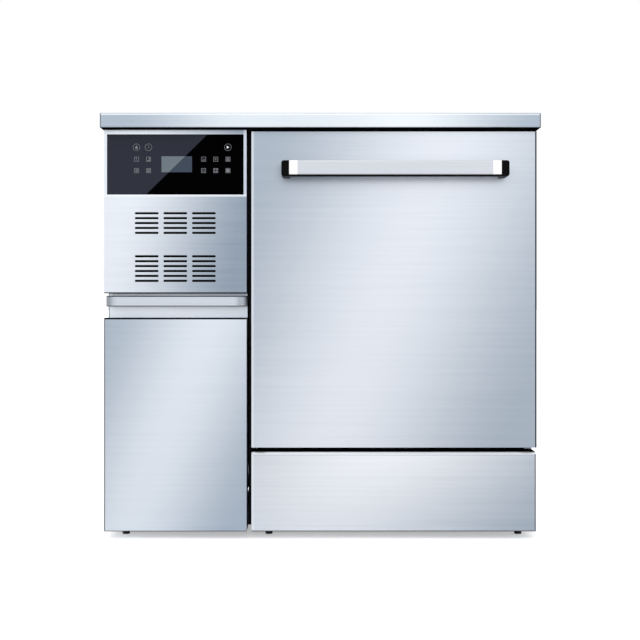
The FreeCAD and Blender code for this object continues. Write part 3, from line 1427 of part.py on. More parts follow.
def make_rear_connections():
    valves = []
    half = valve_body / 2
    coil_half = valve_coil / 2
    neck_half = valve_thread_radius + neck_step
    coil_y = rear_inner_y - valve_coil_from_panel
    end_y = rear_panel_y + valve_reach
    for x in valve_xs():
        body = block(x - half, x + half, rear_inner_y - valve_body_depth, rear_inner_y, valve_z - half, valve_z + half)
        coil = block(x - coil_half, x + coil_half, coil_y - coil_half, coil_y + coil_half, valve_z + half,
                     valve_z + half + valve_coil_height)
        neck = block(x - neck_half, x + neck_half, rear_inner_y, rear_panel_y, valve_z - neck_half,
                     valve_z + neck_half)
        thread = rod((x, rear_panel_y, valve_z), (x, end_y, valve_z), valve_thread_radius)
        bore = faceted((x, rear_panel_y, valve_z), (x, end_y, valve_z), valve_bore_radius, 6)
        valves.append(fused([body, coil, neck, thread]).cut(bore))
    save("inlet_valves", *valves)

    axis = (gland_x, gland_z)

    def along(y0, y1, radius, sides):
        return faceted((axis[0], y0, axis[1]), (axis[0], y1, axis[1]), radius, sides)

    nut_end = rear_panel_y + gland_nut_length
    inner = along(rear_inner_y - gland_locknut, rear_inner_y, gland_nut_radius, 6)
    barrel = along(rear_inner_y, rear_panel_y, gland_radius, wire_sides)
    nut = along(rear_panel_y, nut_end, gland_nut_radius, 6)
    dome = along(nut_end, nut_end + gland_dome_length, gland_radius, pipe_sides)
    bore = rod((gland_x, rear_inner_y - gland_locknut, gland_z), (gland_x, nut_end + gland_dome_length, gland_z),
               gland_bore_radius)
    save("cable_gland", fused([inner, barrel, nut, dome]).cut(bore))


make_base_frame()
make_feet()
make_carcass()
make_partition()
make_side_panels()
make_rear_panel()
make_worktop()
make_kick_plate()
make_fascia()
make_control_panel()
make_shelf()
make_control_board()
make_chamber()
make_insulation()
make_gasket()
make_sump()
make_strainer()
make_heater()
make_pump()
make_drain()
make_riser()
make_arms()
rack_channels = make_racks()
make_upper_feed()
make_injectors()
make_door()
make_door_handle()
make_hinges()
make_lock()
drawer_channels = make_drawer()
save("slide_channels", *rack_channels, *drawer_channels)
make_canisters()
make_dosing()
make_drying()
make_rear_connections()
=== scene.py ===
import math

import bmesh
import bpy
from mathutils import Matrix, Vector


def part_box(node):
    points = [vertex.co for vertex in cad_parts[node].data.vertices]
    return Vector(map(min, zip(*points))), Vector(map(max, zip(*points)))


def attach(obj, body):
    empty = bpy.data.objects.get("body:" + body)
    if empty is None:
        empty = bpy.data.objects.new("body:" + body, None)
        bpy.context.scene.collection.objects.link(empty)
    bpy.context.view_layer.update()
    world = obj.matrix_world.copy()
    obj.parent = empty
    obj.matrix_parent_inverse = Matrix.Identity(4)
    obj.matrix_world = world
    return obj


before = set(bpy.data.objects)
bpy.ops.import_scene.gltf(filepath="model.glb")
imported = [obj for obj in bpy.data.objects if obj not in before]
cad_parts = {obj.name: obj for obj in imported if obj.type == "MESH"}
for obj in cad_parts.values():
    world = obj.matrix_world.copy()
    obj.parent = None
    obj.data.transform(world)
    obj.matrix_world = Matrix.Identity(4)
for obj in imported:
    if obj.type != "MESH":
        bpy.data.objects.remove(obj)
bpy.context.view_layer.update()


# Base frame: box-section steel beams, welded together under the whole machine, with a leak tray
# on top of them. It is hot-dip galvanised, so it is dull and shows patches of zinc crystals.
# The front beam carries a black patch of painted shade where it shows in the gap between the
# two columns.
def tone(red, green, blue):
    # a colour as it reads on a screen, 0 to 255, as the light values that a shader takes
    return tuple(((v / 255 + 0.055) / 1.055) ** 2.4 for v in (red, green, blue)) + (1.0,)


class Shade:
    # An output socket of a tree of nodes that takes part in sums and products
    def __init__(self, nodes, socket):
        self.nodes = nodes
        self.socket = socket

    def math(self, operation, *values):
        return self.nodes.add("Math", {"operation": operation}, dict(enumerate(values)))

    def __add__(self, other):
        return self.math("ADD", self, other)

    def __sub__(self, other):
        return self.math("SUBTRACT", self, other)

    def __rsub__(self, other):
        return self.math("SUBTRACT", other, self)

    def __mul__(self, other):
        return self.math("MULTIPLY", self, other)

    def __truediv__(self, other):
        return self.math("DIVIDE", self, other)

    def __abs__(self):
        return self.math("ABSOLUTE", self)

    __radd__ = __add__
    __rmul__ = __mul__

    def rise(self, low, high):
        # 0 below low, 1 above high and a smooth step between them
        settings = {"interpolation_type": "SMOOTHSTEP"}
        return self.nodes.add("MapRange", settings, {0: self, 1: low, 2: high, 3: 0.0, 4: 1.0})

    def within(self, low, high, soft):
        # 1 between low and high, with edges that fade over the soft width
        return self.rise(low - soft, low) * (1 - self.rise(high, high + soft))


class Nodes:
    # A tree of shader nodes, and the one way to add a node to it
    def __init__(self, tree):
        self.tree = tree

    def add(self, kind, settings, inputs, out=0):
        node = self.tree.nodes.new("ShaderNode" + kind)
        for word, value in settings.items():
            setattr(node, word, value)
        for key, value in inputs.items():
            if isinstance(value, Shade):
                self.tree.links.new(value.socket, node.inputs[key])
            else:
                node.inputs[key].default_value = value
        return Shade(self, node.outputs[out])


class Finish(Nodes):
    # A material in the making, with the shader's own constants
    def __init__(self, name, constants):
        self.material = bpy.data.materials.new(name)
        self.material.use_nodes = True
        super().__init__(self.material.node_tree)
        self.shader = self.tree.nodes["Principled BSDF"]
        for socket, value in constants.items():
            self.shader.inputs[socket].default_value = value

    def place(self, stretch=(1.0, 1.0, 1.0)):
        # the point on the machine in metres, stretched by a factor for each axis
        point = self.add("TexCoord", {}, {}, "Object")
        return self.add("VectorMath", {"operation": "MULTIPLY"}, {0: point, 1: stretch})

    def axis(self, letter):
        return self.add("SeparateXYZ", {}, {0: self.place()}, "XYZ".index(letter))

    def noise(self, stretch, detail=3.0):
        return self.add("TexNoise", {}, {"Vector": self.place(stretch), "Scale": 1.0, "Detail": detail})

    def cells(self, stretch, out=0):
        return self.add("TexVoronoi", {}, {"Vector": self.place(stretch), "Scale": 1.0}, out)

    def blend(self, factor, first, second):
        return self.add("Mix", {"data_type": "RGBA"}, {0: factor, 6: first, 7: second}, 2)

    def feed(self, socket, shade):
        self.tree.links.new(shade.socket, self.shader.inputs[socket])
        return self

    def over(self, mask, colour):
        # lays another colour over the base colour where the mask is 1
        under = Shade(self, self.shader.inputs["Base Color"].links[0].from_socket)
        return self.feed("Base Color", self.blend(mask, under, colour))

    def relief(self, height, strength, distance=0.001):
        bump = self.add("Bump", {}, {"Strength": strength, "Distance": distance, "Height": height})
        return self.feed("Normal", bump)


def dress(finish, *nodes):
    for node in nodes:
        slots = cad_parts[node].data.materials
        slots.clear()
        slots.append(finish.material)


def galvanised(name, dark, light):
    steel = Finish(name, {"Metallic": 1.0, "Roughness": 0.5})
    crystals = steel.cells((55, 55, 55), "Color")
    patch = steel.add("SeparateColor", {}, {0: crystals}, 0)
    cloud = steel.noise((9, 9, 9), 4.0)
    steel.feed("Base Color", steel.blend(patch * 0.6 + cloud * 0.4, dark, light))
    steel.feed("Roughness", 0.38 + patch * 0.18)
    return steel.relief(patch, 0.06)


zinc_dark = tone(128, 134, 140)
zinc_light = tone(196, 201, 206)
gap_left_x = -0.158
gap_right_x = -0.138
gap_shade_depth = 0.05
gap_shade_side_fade = 0.001
gap_shade_back_fade = 0.002
frame_zinc = galvanised("frame_zinc", zinc_dark, zinc_light)
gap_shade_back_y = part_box("base_frame")[0].y + gap_shade_depth
in_the_gap = frame_zinc.axis("X").within(gap_left_x, gap_right_x, gap_shade_side_fade)
# painted shade: black and not metallic where the front beam shows in the gap
gap_shade = in_the_gap * (1 - frame_zinc.axis("Y").rise(gap_shade_back_y, gap_shade_back_y + gap_shade_back_fade))
frame_zinc.over(gap_shade, tone(4, 4, 5))
frame_zinc.feed("Metallic", 1 - gap_shade)
dress(frame_zinc, "base_frame")


# Levelling feet: moulded black pads on zinc-plated threaded stems. The stems screw into the frame
# and are locked by a nut under it.
corner_gap = 0.00002
rim_angle = math.radians(50)
pad_top_z = 0.0085
pad_fade = 0.0005
thread_density = 300.0


def joined(node):
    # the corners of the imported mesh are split, and belong together
    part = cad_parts[node]
    part.modifiers.new("joined_corners", "WELD").merge_threshold = corner_gap
    return part


def rounded_off(*nodes):
    # shades the flat sides of bars, pipes and drums as one round surface
    for node in nodes:
        part = joined(node)
        split = part.modifiers.new("sharp_rims", "EDGE_SPLIT")
        split.split_angle = rim_angle
        split.use_edge_sharp = False
        part.modifiers.new("round_shading", "WEIGHTED_NORMAL").weight = 50


feet = Finish("foot_plastic_and_zinc", {})
stem_mask = feet.axis("Z").rise(pad_top_z, pad_top_z + pad_fade)
foot_grain = feet.noise((900, 900, 900))
thread_place = {"Vector": feet.place((1, 1, thread_density)), "Scale": 1.0}
thread = feet.add("TexWave", {"bands_direction": "Z"}, thread_place, "Fac")
foot_black = feet.blend(foot_grain, tone(16, 17, 18), tone(30, 31, 33))
stem_zinc = feet.blend(thread, tone(120, 124, 128), tone(190, 194, 198))
feet.feed("Base Color", feet.blend(stem_mask, foot_black, stem_zinc))
feet.feed("Metallic", stem_mask)
feet.feed("Roughness", 0.55 - stem_mask * 0.2)
feet.relief(foot_grain * 0.3 + thread * stem_mask, 0.2)
dress(feet, "levelling_feet")
rounded_off("levelling_feet")


# Carcass: posts, rails and crossbeams of folded steel, zinc coated and unpainted, bolted to the
# base frame. The shelf over the drawer and the channels of both racks are the same coated sheet.
zinc = galvanised("zinc_coating", zinc_dark, zinc_light)
dress(zinc, "carcass_frame", "mid_shelf", "slide_channels")


# Centre partition: one folded sheet between the two columns, from the frame to the worktop. Its
# near-black colour is painted shade, because its front flange shows in the gap.
def coated(name, dark, light, roughness=0.5):
    # a dull coat or a moulded plastic, with a fine grain and a slow cloud in its tone
    coat = Finish(name, {"Roughness": roughness, "Specular IOR Level": 0.2})
    speck = coat.noise((700, 700, 700), 4.0)
    cloud = coat.noise((12, 12, 12), 2.0)
    coat.feed("Base Color", coat.blend(speck * 0.6 + cloud * 0.4, dark, light))
    coat.feed("Roughness", roughness - 0.08 + speck * 0.16)
    return coat.relief(speck, 0.12, 0.0004)


# painted shade: the near-black colour stands in for the dark of the gap between the columns
partition_black = coated("partition_gap_shade", tone(5, 5, 6), tone(15, 16, 18), 0.6)
dress(partition_black, "centre_partition")


# Wash chamber: tub of stainless steel sheet, folded and welded, open to the front. Its inside has
# a satin grain that runs round it level.
def brushed(name, dark, light, stretch, roughness=0.3):
    # stainless steel with a fine grain along the axis that is stretched least
    steel = Finish(name, {"Metallic": 1.0, "Anisotropic": 0.3})
    coarse = tuple(s * 0.25 for s in stretch)
    grain = steel.noise(stretch, 4.0) * 0.6 + steel.noise(coarse, 2.0) * 0.4
    cloud = steel.noise((3, 3, 3), 2.0)
    steel.feed("Base Color", steel.blend(grain * 0.7 + cloud * 0.3, dark, light))
    steel.feed("Roughness", roughness - 0.06 + grain * 0.12)
    return steel.relief(grain, 0.05, 0.0005)


level_grain = (9, 9, 700)
chamber_steel = brushed("chamber_steel", tone(176, 182, 188), tone(214, 218, 223), level_grain, 0.26)
dress(chamber_steel, "wash_chamber")


# Insulation: grey felt mats, cut to the tub's walls and bonded to their outside. They keep the heat
# in and take the noise of the spray.
felt = Finish("insulation_felt", {"Roughness": 0.95, "Sheen Weight": 0.3})
fibre = felt.noise((420, 420, 420), 6.0)
lump = felt.noise((30, 30, 30), 3.0)
felt.feed("Base Color", felt.blend(fibre * 0.7 + lump * 0.3, tone(74, 76, 80), tone(128, 131, 136)))
felt.relief(fibre, 0.6, 0.0015)
dress(felt, "chamber_insulation")


# Gasket: extruded profile of black silicone, pressed into a rim round the mouth of the chamber.
# The door's liner closes on it.
seal = coated("seal_rubber", tone(20, 20, 21), tone(36, 36, 38), 0.7)
dress(seal, "chamber_gasket")


# Sump and strainer: deep-drawn stainless bowl under the chamber's floor, with a perforated cup set
# into its rim. The cup lifts out to be emptied.
pressed = brushed("pressed_steel", tone(170, 176, 182), tone(212, 216, 221), (300, 300, 12), 0.3)
dress(pressed, "sump_housing", "sump_strainer")
rounded_off("sump_housing", "sump_strainer")


# Heating element: steel tube with the resistance wire inside, bent to a loop and fixed through the
# chamber's wall. The heat has tinted its sheath.
element = brushed("heater_sheath", tone(120, 122, 126), tone(168, 168, 170), (150, 150, 150), 0.42)
dress(element, "heating_element")
rounded_off("heating_element")


# Lower spray arm: hollow stainless arm with jets, welded from two pressings. It turns on a post that
# stands on the sump and brings its water.
arm_steel = brushed("spray_arm_steel", tone(184, 189, 195), tone(222, 226, 230), (12, 600, 600), 0.24)
dress(pressed, "lower_arm_post")
dress(arm_steel, "lower_spray_arm")
rounded_off("lower_arm_post", "lower_spray_arm")


# Circulation pump: moulded black casing under the chamber with a grey plastic impeller inside.
# Its motor has a cast aluminium shell that is flanged to the casing.
moulded_black = coated("moulded_black", tone(18, 19, 20), tone(34, 35, 37), 0.45)
dress(moulded_black, "pump_casing")
impeller_plastic = coated("impeller_plastic", tone(52, 54, 58), tone(80, 82, 86), 0.4)
dress(impeller_plastic, "pump_impeller")
cast = Finish("cast_aluminium", {"Metallic": 1.0})
sand = cast.noise((500, 500, 500), 5.0)
cast.feed("Base Color", cast.blend(sand, tone(128, 132, 136), tone(176, 180, 184)))
cast.feed("Roughness", 0.45 + sand * 0.2)
cast.relief(sand, 0.35, 0.0006)
dress(cast, "pump_motor")
rounded_off("pump_casing", "pump_impeller", "pump_motor")


# Riser pipe: grey plastic pipe from the pump up behind the chamber. Two stubs reach through the rear
# wall, and the racks dock on them.
pipe_plastic = coated("pipe_plastic", tone(90, 93, 97), tone(116, 119, 123), 0.45)
dress(pipe_plastic, "riser_pipe")
rounded_off("riser_pipe")


# Drain: small moulded pump on the sump, and a grey plastic pipe to the spigot in the rear panel,
# where the waste hose goes on.
dress(moulded_black, "drain_pump")
dress(pipe_plastic, "drain_pipe")
rounded_off("drain_pump", "drain_pipe")


# Lower rack: frame of bright stainless wire, spot welded, on bars that run in the channels.
# It carries a flat manifold with upright nozzles, on which the flasks stand neck down.
wire = brushed("wire_steel", tone(190, 195, 200), tone(228, 231, 234), (200, 200, 200), 0.18)
dress(wire, "lower_rack_frame", "injector_nozzles")
dress(pressed, "injector_manifold")
rounded_off("lower_rack_frame", "injector_nozzles")


# Upper rack: basket of bright stainless wire on the same kind of bars. A pipe under it feeds the
# upper spray arm, which hangs below the basket and turns.
dress(wire, "upper_rack_frame")
dress(pressed, "upper_rack_feed")
dress(arm_steel, "upper_spray_arm")
rounded_off("upper_rack_frame", "upper_rack_feed", "upper_spray_arm")


# Drying blower: black moulded casing and wheel on the shelf in the control column. It draws room air
# through a grey filter housing with a duct into the chamber.
dress(moulded_black, "blower_casing", "blower_wheel")
dress(pipe_plastic, "filter_housing")
rounded_off("blower_casing", "blower_wheel", "filter_housing")


# Control board: glass-fibre circuit board with green solder resist over its tracks, screwed to the
# bulkhead over the shelf.
board_green = Finish("circuit_board", {"Roughness": 0.35})
track_pattern = {"Vector": board_green.place(), "Scale": 90.0, "Mortar Size": 0.012}
tracks = board_green.add("TexBrick", {"offset": 0.5}, track_pattern, "Fac")
patches = board_green.noise((45, 45, 45), 2.0)
board_tone = patches * 0.7 + tracks * 0.3
board_green.feed("Base Color", board_green.blend(board_tone, tone(14, 62, 38), tone(38, 104, 62)))
board_green.relief(tracks, 0.15, 0.0003)
dress(board_green, "control_board")


# Dosing pumps: two roller pumps with white moulded housings, screwed to the wall of the column.
# The blue rotor in each squeezes a hose.
white_plastic = coated("white_plastic", tone(206, 208, 208), tone(230, 232, 232), 0.4)
dress(white_plastic, "dosing_pump_housings")
blue_plastic = coated("blue_plastic", tone(20, 66, 138), tone(38, 92, 170), 0.35)
dress(blue_plastic, "dosing_rotor_1", "dosing_rotor_2")
rounded_off("dosing_rotor_1", "dosing_rotor_2")


# Drawer: tray folded from zinc-coated sheet, on the moving halves of two telescopic slides, which
# are screwed to its sides.
dress(zinc, "drawer_slides_moving", "drawer_tray")


# Canisters: blow-moulded natural polyethylene for detergent and neutraliser, which stand in the
# tray. Their blue screw caps carry the suction lances.
milky = Finish("canister_plastic", {"Roughness": 0.4})
cloudy = milky.noise((14, 14, 14), 3.0)
skin = milky.noise((300, 300, 300), 3.0)
milky.feed("Base Color", milky.blend(cloudy, tone(206, 210, 208), tone(232, 235, 233)))
milky.feed("Roughness", 0.34 + skin * 0.12)
milky.relief(skin, 0.15)
dress(milky, "canisters")
dress(blue_plastic, "lance_caps")
rounded_off("canisters", "lance_caps")


# Drawer front: stainless sheet, folded back on all sides and screwed to the tray, with the brushed
# grain across it. A painted reflection of a room's light lies on it as one wide soft slanting band,
# and its left, top and foot edges carry painted shade lines.
along_x = (5.0, 900.0, 900.0)
face_depth = 0.0010
fold_fade = 0.0004
line_fade = 0.0008
drawer_left_shade_width = 0.0012
drawer_left_shade_fade = 0.0012
drawer_head_shade_width = 0.0030
drawer_foot_shade_width = 0.0011


def panel_place(finish, node):
    # the point as shares of the panel's width and height
    low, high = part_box(node)
    across = (finish.axis("X") - low.x) / (high.x - low.x)
    up = (finish.axis("Z") - low.z) / (high.z - low.z)
    return across, up


def front_face(finish, node):
    # 1 on the face that looks to the front, 0 on the folded sides
    back_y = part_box(node)[0].y + face_depth
    return 1 - finish.axis("Y").rise(back_y, back_y + fold_fade)


def edge_line(finish, node, edge, width, fade=line_fade):
    # 1 along one edge of the front face, as wide as given, and 0 beyond the fade
    low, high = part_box(node)
    if edge == "left":
        line = 1 - finish.axis("X").rise(low.x + width, low.x + width + fade)
    elif edge == "right":
        line = finish.axis("X").rise(high.x - width - fade, high.x - width)
    elif edge == "foot":
        line = 1 - finish.axis("Z").rise(low.z + width, low.z + width + fade)
    else:
        line = finish.axis("Z").rise(high.z - width - fade, high.z - width)
    return line * front_face(finish, node)


def front_steel(name, node, dark, light, bands):
    # brushed stainless sheet with soft slanting bands of painted reflection. Each band has its centre
    # on the panel's foot and on its head, its half width, and its strength at the foot and at the head.
    steel = Finish(name, {"Metallic": 1.0, "Anisotropic": 0.3, "Specular IOR Level": 0.0})
    across, up = panel_place(steel, node)
    sheen = 0.0
    for foot, head, half_width, foot_strength, head_strength in bands:
        centre = up * (head - foot) + foot
        strength = up * (head_strength - foot_strength) + foot_strength
        sheen = (1 - abs(across - centre).rise(0.0, half_width)) * strength + sheen
    grain = steel.noise(along_x, 4.0) * 0.6 + steel.noise((2.0, 220.0, 220.0), 2.0) * 0.4
    streak = steel.noise((3.0, 170.0, 170.0), 3.0) * 0.2 - 0.1
    steel.feed("Base Color", steel.blend(sheen + streak, dark, light))
    steel.feed("Roughness", 0.27 + grain * 0.12)
    return steel.relief(grain, 0.05, 0.0005)


def soften(width, *nodes):
    # rolls the sharp edges of folded sheet, so that they catch the light
    for node in nodes:
        part = joined(node)
        edge = part.modifiers.new("rolled_edges", "BEVEL")
        edge.width = width
        edge.segments = 2
        edge.limit_method = "ANGLE"
        edge.angle_limit = rim_angle
        edge.use_clamp_overlap = True
        part.modifiers.new("even_shading", "WEIGHTED_NORMAL").keep_sharp = True


foot_shade_tone = tone(60, 64, 74)
drawer_steel = front_steel("drawer_steel", "drawer_front", tone(171, 183, 197), tone(222, 229, 238),
                           [(0.17, 0.76, 0.77, 1.0, 1.0)])
# painted shade lines along the left, top and foot edges of the drawer front
drawer_left_shade = edge_line(drawer_steel, "drawer_front", "left", drawer_left_shade_width, drawer_left_shade_fade)
drawer_steel.over(drawer_left_shade, tone(44, 50, 62))
drawer_steel.over(edge_line(drawer_steel, "drawer_front", "top", drawer_head_shade_width), tone(16, 20, 30))
drawer_steel.over(edge_line(drawer_steel, "drawer_front", "foot", drawer_foot_shade_width), foot_shade_tone)
dress(drawer_steel, "drawer_front")
soften(0.0006, "drawer_front")


# Strip over the drawer front: flat stainless sheet that stands back, so that fingers reach behind
# the bar handle. It is screwed to the tray and moves with it. A painted reflection lies on it as a
# soft band, and its left edge is a painted shade line.
strip_shade_width = 0.0012
strip_steel = front_steel("strip_steel", "drawer_back_panel", tone(218, 226, 236), tone(234, 240, 248),
                          [(0.4, 0.4, 0.8, 1.0, 1.0)])
# painted shade line along the left edge
strip_left_shade = edge_line(strip_steel, "drawer_back_panel", "left", strip_shade_width)
strip_steel.over(strip_left_shade, tone(40, 45, 56))
dress(strip_steel, "drawer_back_panel")


# Bar handle of the drawer: flat satin steel bar, bowed back at both ends and screwed on from behind.
# Its ends are darkened with painted shade, its right end carries a painted highlight, and its long
# edges are painted shade lines.
bar_low, bar_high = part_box("drawer_handle")
bow_start = 0.002
bow_width = 0.028
end_highlight_start = 0.014
end_highlight_full = 0.004
bar_edge_low = 0.0018
bar_edge_high = 0.0019
bar_edge_fade = 0.0004
bar_steel = Finish("drawer_handle_steel", {"Specular IOR Level": 0.15})
bar_x = bar_steel.axis("X")
from_bar_end = (bar_high.x - bar_low.x) / 2 - abs(bar_x - (bar_low.x + bar_high.x) / 2)
bar_grain = bar_steel.noise(along_x, 4.0)
bar_tone = bar_steel.blend(bar_grain, tone(190, 198, 208), tone(212, 219, 228))
# painted shade towards both ends, where the bar bows back
on_the_bar = from_bar_end.rise(bow_start, bow_width)
bar_steel.feed("Base Color", bar_steel.blend(on_the_bar, tone(140, 147, 156), bar_tone))
# painted highlight on the right end
bar_end_highlight = bar_x.rise(bar_high.x - end_highlight_start, bar_high.x - end_highlight_full)
bar_steel.over(bar_end_highlight, tone(236, 240, 246))
bar_z = bar_steel.axis("Z")
# painted shade lines along the long edges, which are also less metallic
bar_edge_shade = 1 - bar_z.within(bar_low.z + bar_edge_low, bar_high.z - bar_edge_high, bar_edge_fade)
bar_steel.over(bar_edge_shade, tone(24, 28, 38))
bar_steel.feed("Metallic", (1 - bar_edge_shade) * 0.45)
bar_steel.feed("Roughness", 0.26 + bar_grain * 0.1)
bar_steel.relief(bar_grain, 0.05, 0.0005)
dress(bar_steel, "drawer_handle")
soften(0.0005, "drawer_handle")


# Hinges: zinc-plated steel stampings. The arms are bolted to the carcass, the plates with their ears
# to the door, and plain pins join them.
plated = brushed("plated_steel", tone(150, 155, 160), tone(200, 204, 208), (90, 90, 90), 0.35)
dress(plated, "hinge_arms", "door_hinge_plates", "door_hinge_pins")
rounded_off("hinge_arms", "door_hinge_pins")


# Door lock: moulded black housing over the chamber's mouth, in which a plated bolt slides. The plated
# striker on the door hooks into it.
dress(moulded_black, "lock_housing")
dress(plated, "lock_bolt", "door_striker")


# Door liner: stainless pressing that closes the chamber, with the same satin grain as the tub.
# Low domed screws with a star socket hold it to the outer skin along both sides.
dress(chamber_steel, "door_liner")
screw_radius = 0.0042
socket_points = 12
screw_from_liner_edge = 0.009
liner_screw_heights = (0.26, 0.44, 0.62, 0.80)
screw_steel = brushed("screw_steel", tone(142, 147, 153), tone(196, 200, 205), (600, 600, 600), 0.25)


def lathe_ring(mesh, centre, face_y, radii):
    # points round a centre in the XZ plane, at distances that take turns
    ring = []
    for i in range(socket_points):
        turn = 2 * math.pi * i / socket_points
        r = radii[i % len(radii)]
        ring.append(mesh.verts.new((centre[0] + r * math.cos(turn), face_y,
                                    centre[1] + r * math.sin(turn))))
    return ring


def screw_heads(name, face_y, places, body):
    # screw heads of one size, on a face that looks to the back
    heads = bmesh.new()
    r = screw_radius
    profile = ((0.0, (r,)), (0.0008, (r,)), (0.0014, (0.85 * r,)), (0.0017, (0.55 * r,)),
               (0.0017, (0.46 * r, 0.34 * r)), (0.0006, (0.44 * r, 0.32 * r)))
    for place in places:
        rings = [lathe_ring(heads, place, face_y + out, radii) for out, radii in profile]
        heads.faces.new(rings[0])
        heads.faces.new(rings[-1][::-1])
        for near, far in zip(rings, rings[1:]):
            for i in range(socket_points):
                n = (i + 1) % socket_points
                heads.faces.new((near[i], far[i], far[n], near[n]))
    bmesh.ops.recalc_face_normals(heads, faces=heads.faces)
    data = bpy.data.meshes.new(name)
    heads.to_mesh(data)
    heads.free()
    piece = bpy.data.objects.new(name, data)
    bpy.context.scene.collection.objects.link(piece)
    data.materials.append(screw_steel.material)
    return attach(piece, body)


liner_low, liner_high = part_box("door_liner")
liner_places = [(x, z) for x in (liner_low.x + screw_from_liner_edge, liner_high.x - screw_from_liner_edge)
                for z in liner_screw_heights]
screw_heads("door_liner_screws", liner_high.y, liner_places, "door")


# Door skin: stainless sheet, folded back on all sides, with the brushed grain across it. A painted
# reflection lies on it as a soft slanting band, with a painted highlight along its left edge and a
# painted shade line along its right edge.
left_highlight_tone = tone(238, 240, 247)
left_highlight_width = 0.003
left_highlight_fade = 0.004
left_highlight_strength = 0.5
door_right_shade_width = 0.0028
door_steel = front_steel("door_steel", "door_skin", tone(168, 179, 192), tone(228, 233, 241),
                         [(0.27, 0.69, 0.66, 0.95, 0.9)])
# painted highlight along the left edge, painted shade line along the right edge
door_left_highlight = edge_line(door_steel, "door_skin", "left", left_highlight_width, left_highlight_fade)
door_steel.over(door_left_highlight * left_highlight_strength, left_highlight_tone)
door_steel.over(edge_line(door_steel, "door_skin", "right", door_right_shade_width), tone(44, 48, 58))
dress(door_steel, "door_skin")
soften(0.0007, "door_skin")


# Door handle: flat satin steel bar between two black moulded end posts, screwed on from behind the
# skin. Next to each post the bar carries a painted highlight, and a black strip of painted shade
# lies along its underside.
handle_low, handle_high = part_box("door_handle")
post_width = 0.016
post_fade = 0.0004
highlight_width = 0.0163
highlight_fade = 0.0015
under_shade_height = 0.0034
under_shade_fade = 0.0001
handle_steel = Finish("handle_steel", {"Specular IOR Level": 0.06})
handle_middle_x = (handle_low.x + handle_high.x) / 2
from_end = (handle_high.x - handle_low.x) / 2 - abs(handle_steel.axis("X") - handle_middle_x)
# painted shade: a black strip along the underside of the bar
under_shade_top_z = handle_low.z + under_shade_height
above_under_shade = handle_steel.axis("Z").rise(under_shade_top_z - under_shade_fade, under_shade_top_z + under_shade_fade)
steel_mask = from_end.rise(post_width - post_fade, post_width + post_fade) * above_under_shade
# painted highlight on the bar next to each post
satin = from_end.rise(post_width + highlight_width, post_width + highlight_width + highlight_fade)
handle_grain = handle_steel.noise(along_x, 4.0)
satin_tone = handle_steel.blend(handle_grain, tone(196, 200, 208), tone(218, 221, 228))
steel_tone = handle_steel.blend(satin, tone(252, 252, 253), satin_tone)
handle_steel.feed("Base Color", handle_steel.blend(steel_mask, tone(2, 2, 3), steel_tone))
handle_steel.feed("Metallic", steel_mask)
handle_steel.feed("Roughness", 0.42 - steel_mask * 0.14 + handle_grain * 0.08)
handle_steel.relief(handle_grain, 0.05, 0.0005)
dress(handle_steel, "door_handle")
soften(0.0005, "door_handle")


# Kick plate: folded stainless sheet that hooks on the carcass under the door. A painted reflection
# lies on it as a soft band, its bevelled top edge carries a painted highlight over a crease of painted
# shade, its left edge a painted highlight, its foot and right edge painted shade lines, and the fold
# behind the bevel is painted black as the shade of the gap.
fold_drop = 0.0002
bevel_drop = 0.0046
crease_top_drop = 0.0061
crease_foot_drop = 0.0071
crease_fade = 0.0007
kick_foot_shade_width = 0.0013
kick_right_shade_width = 0.0018
kick_steel = front_steel("kick_plate_steel", "kick_plate", tone(160, 172, 186), tone(240, 243, 248),
                         [(0.22, 0.44, 0.92, 0.74, 1.0)])
under_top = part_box("kick_plate")[1].z - kick_steel.axis("Z")
# painted shade in the crease under the bevel, and a painted highlight on the bevel
crease_shade = under_top.within(crease_top_drop, crease_foot_drop, crease_fade)
kick_steel.over(crease_shade * 0.5, tone(176, 186, 198))
kick_steel.over(1 - under_top.rise(bevel_drop, bevel_drop + line_fade), tone(250, 251, 253))
# painted highlight along the left edge, painted shade lines along the foot and the right edge
kick_left_highlight = edge_line(kick_steel, "kick_plate", "left", left_highlight_width, left_highlight_fade)
kick_steel.over(kick_left_highlight * left_highlight_strength, left_highlight_tone)
kick_steel.over(edge_line(kick_steel, "kick_plate", "foot", kick_foot_shade_width), foot_shade_tone)
kick_steel.over(edge_line(kick_steel, "kick_plate", "right", kick_right_shade_width), tone(54, 58, 68))
# painted shade: the fold behind the bevel is black and not metallic
kick_fold_shade = 1 - under_top.rise(fold_drop, fold_drop + fold_fade)
kick_steel.over(kick_fold_shade, tone(3, 3, 4))
kick_steel.feed("Metallic", 1 - kick_fold_shade)
dress(kick_steel, "kick_plate")
soften(0.0006, "kick_plate")


# Upper fascia: folded stainless front of the control column, with a cut-out for the control glass and
# punched vent slots. A painted reflection lies on it as a soft band, painted highlights run along
# the edges of the cut-out, and its foot is a painted shade line.
fascia_foot_shade_width = 0.0015
fascia_foot_shade_fade = 0.0007
cut_highlight_height = 0.004
cut_highlight_corner_fade = 0.003
cut_highlight_fade = 0.001
cut_highlight_strength = 0.7
fascia_steel = front_steel("fascia_steel", "upper_fascia", tone(143, 156, 172), tone(226, 232, 240),
                           [(-0.05, 0.22, 1.0, 1.0, 1.0)])
fascia_low, fascia_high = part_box("upper_fascia")
glass_low, glass_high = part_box("control_glass")
fascia_face = front_face(fascia_steel, "upper_fascia")
fascia_z = fascia_steel.axis("Z")
# painted shade line along the fascia's foot
foot_shade_z = fascia_low.z + fascia_foot_shade_width
fascia_steel.over(1 - fascia_z.rise(foot_shade_z, foot_shade_z + fascia_foot_shade_fade), tone(22, 26, 36))
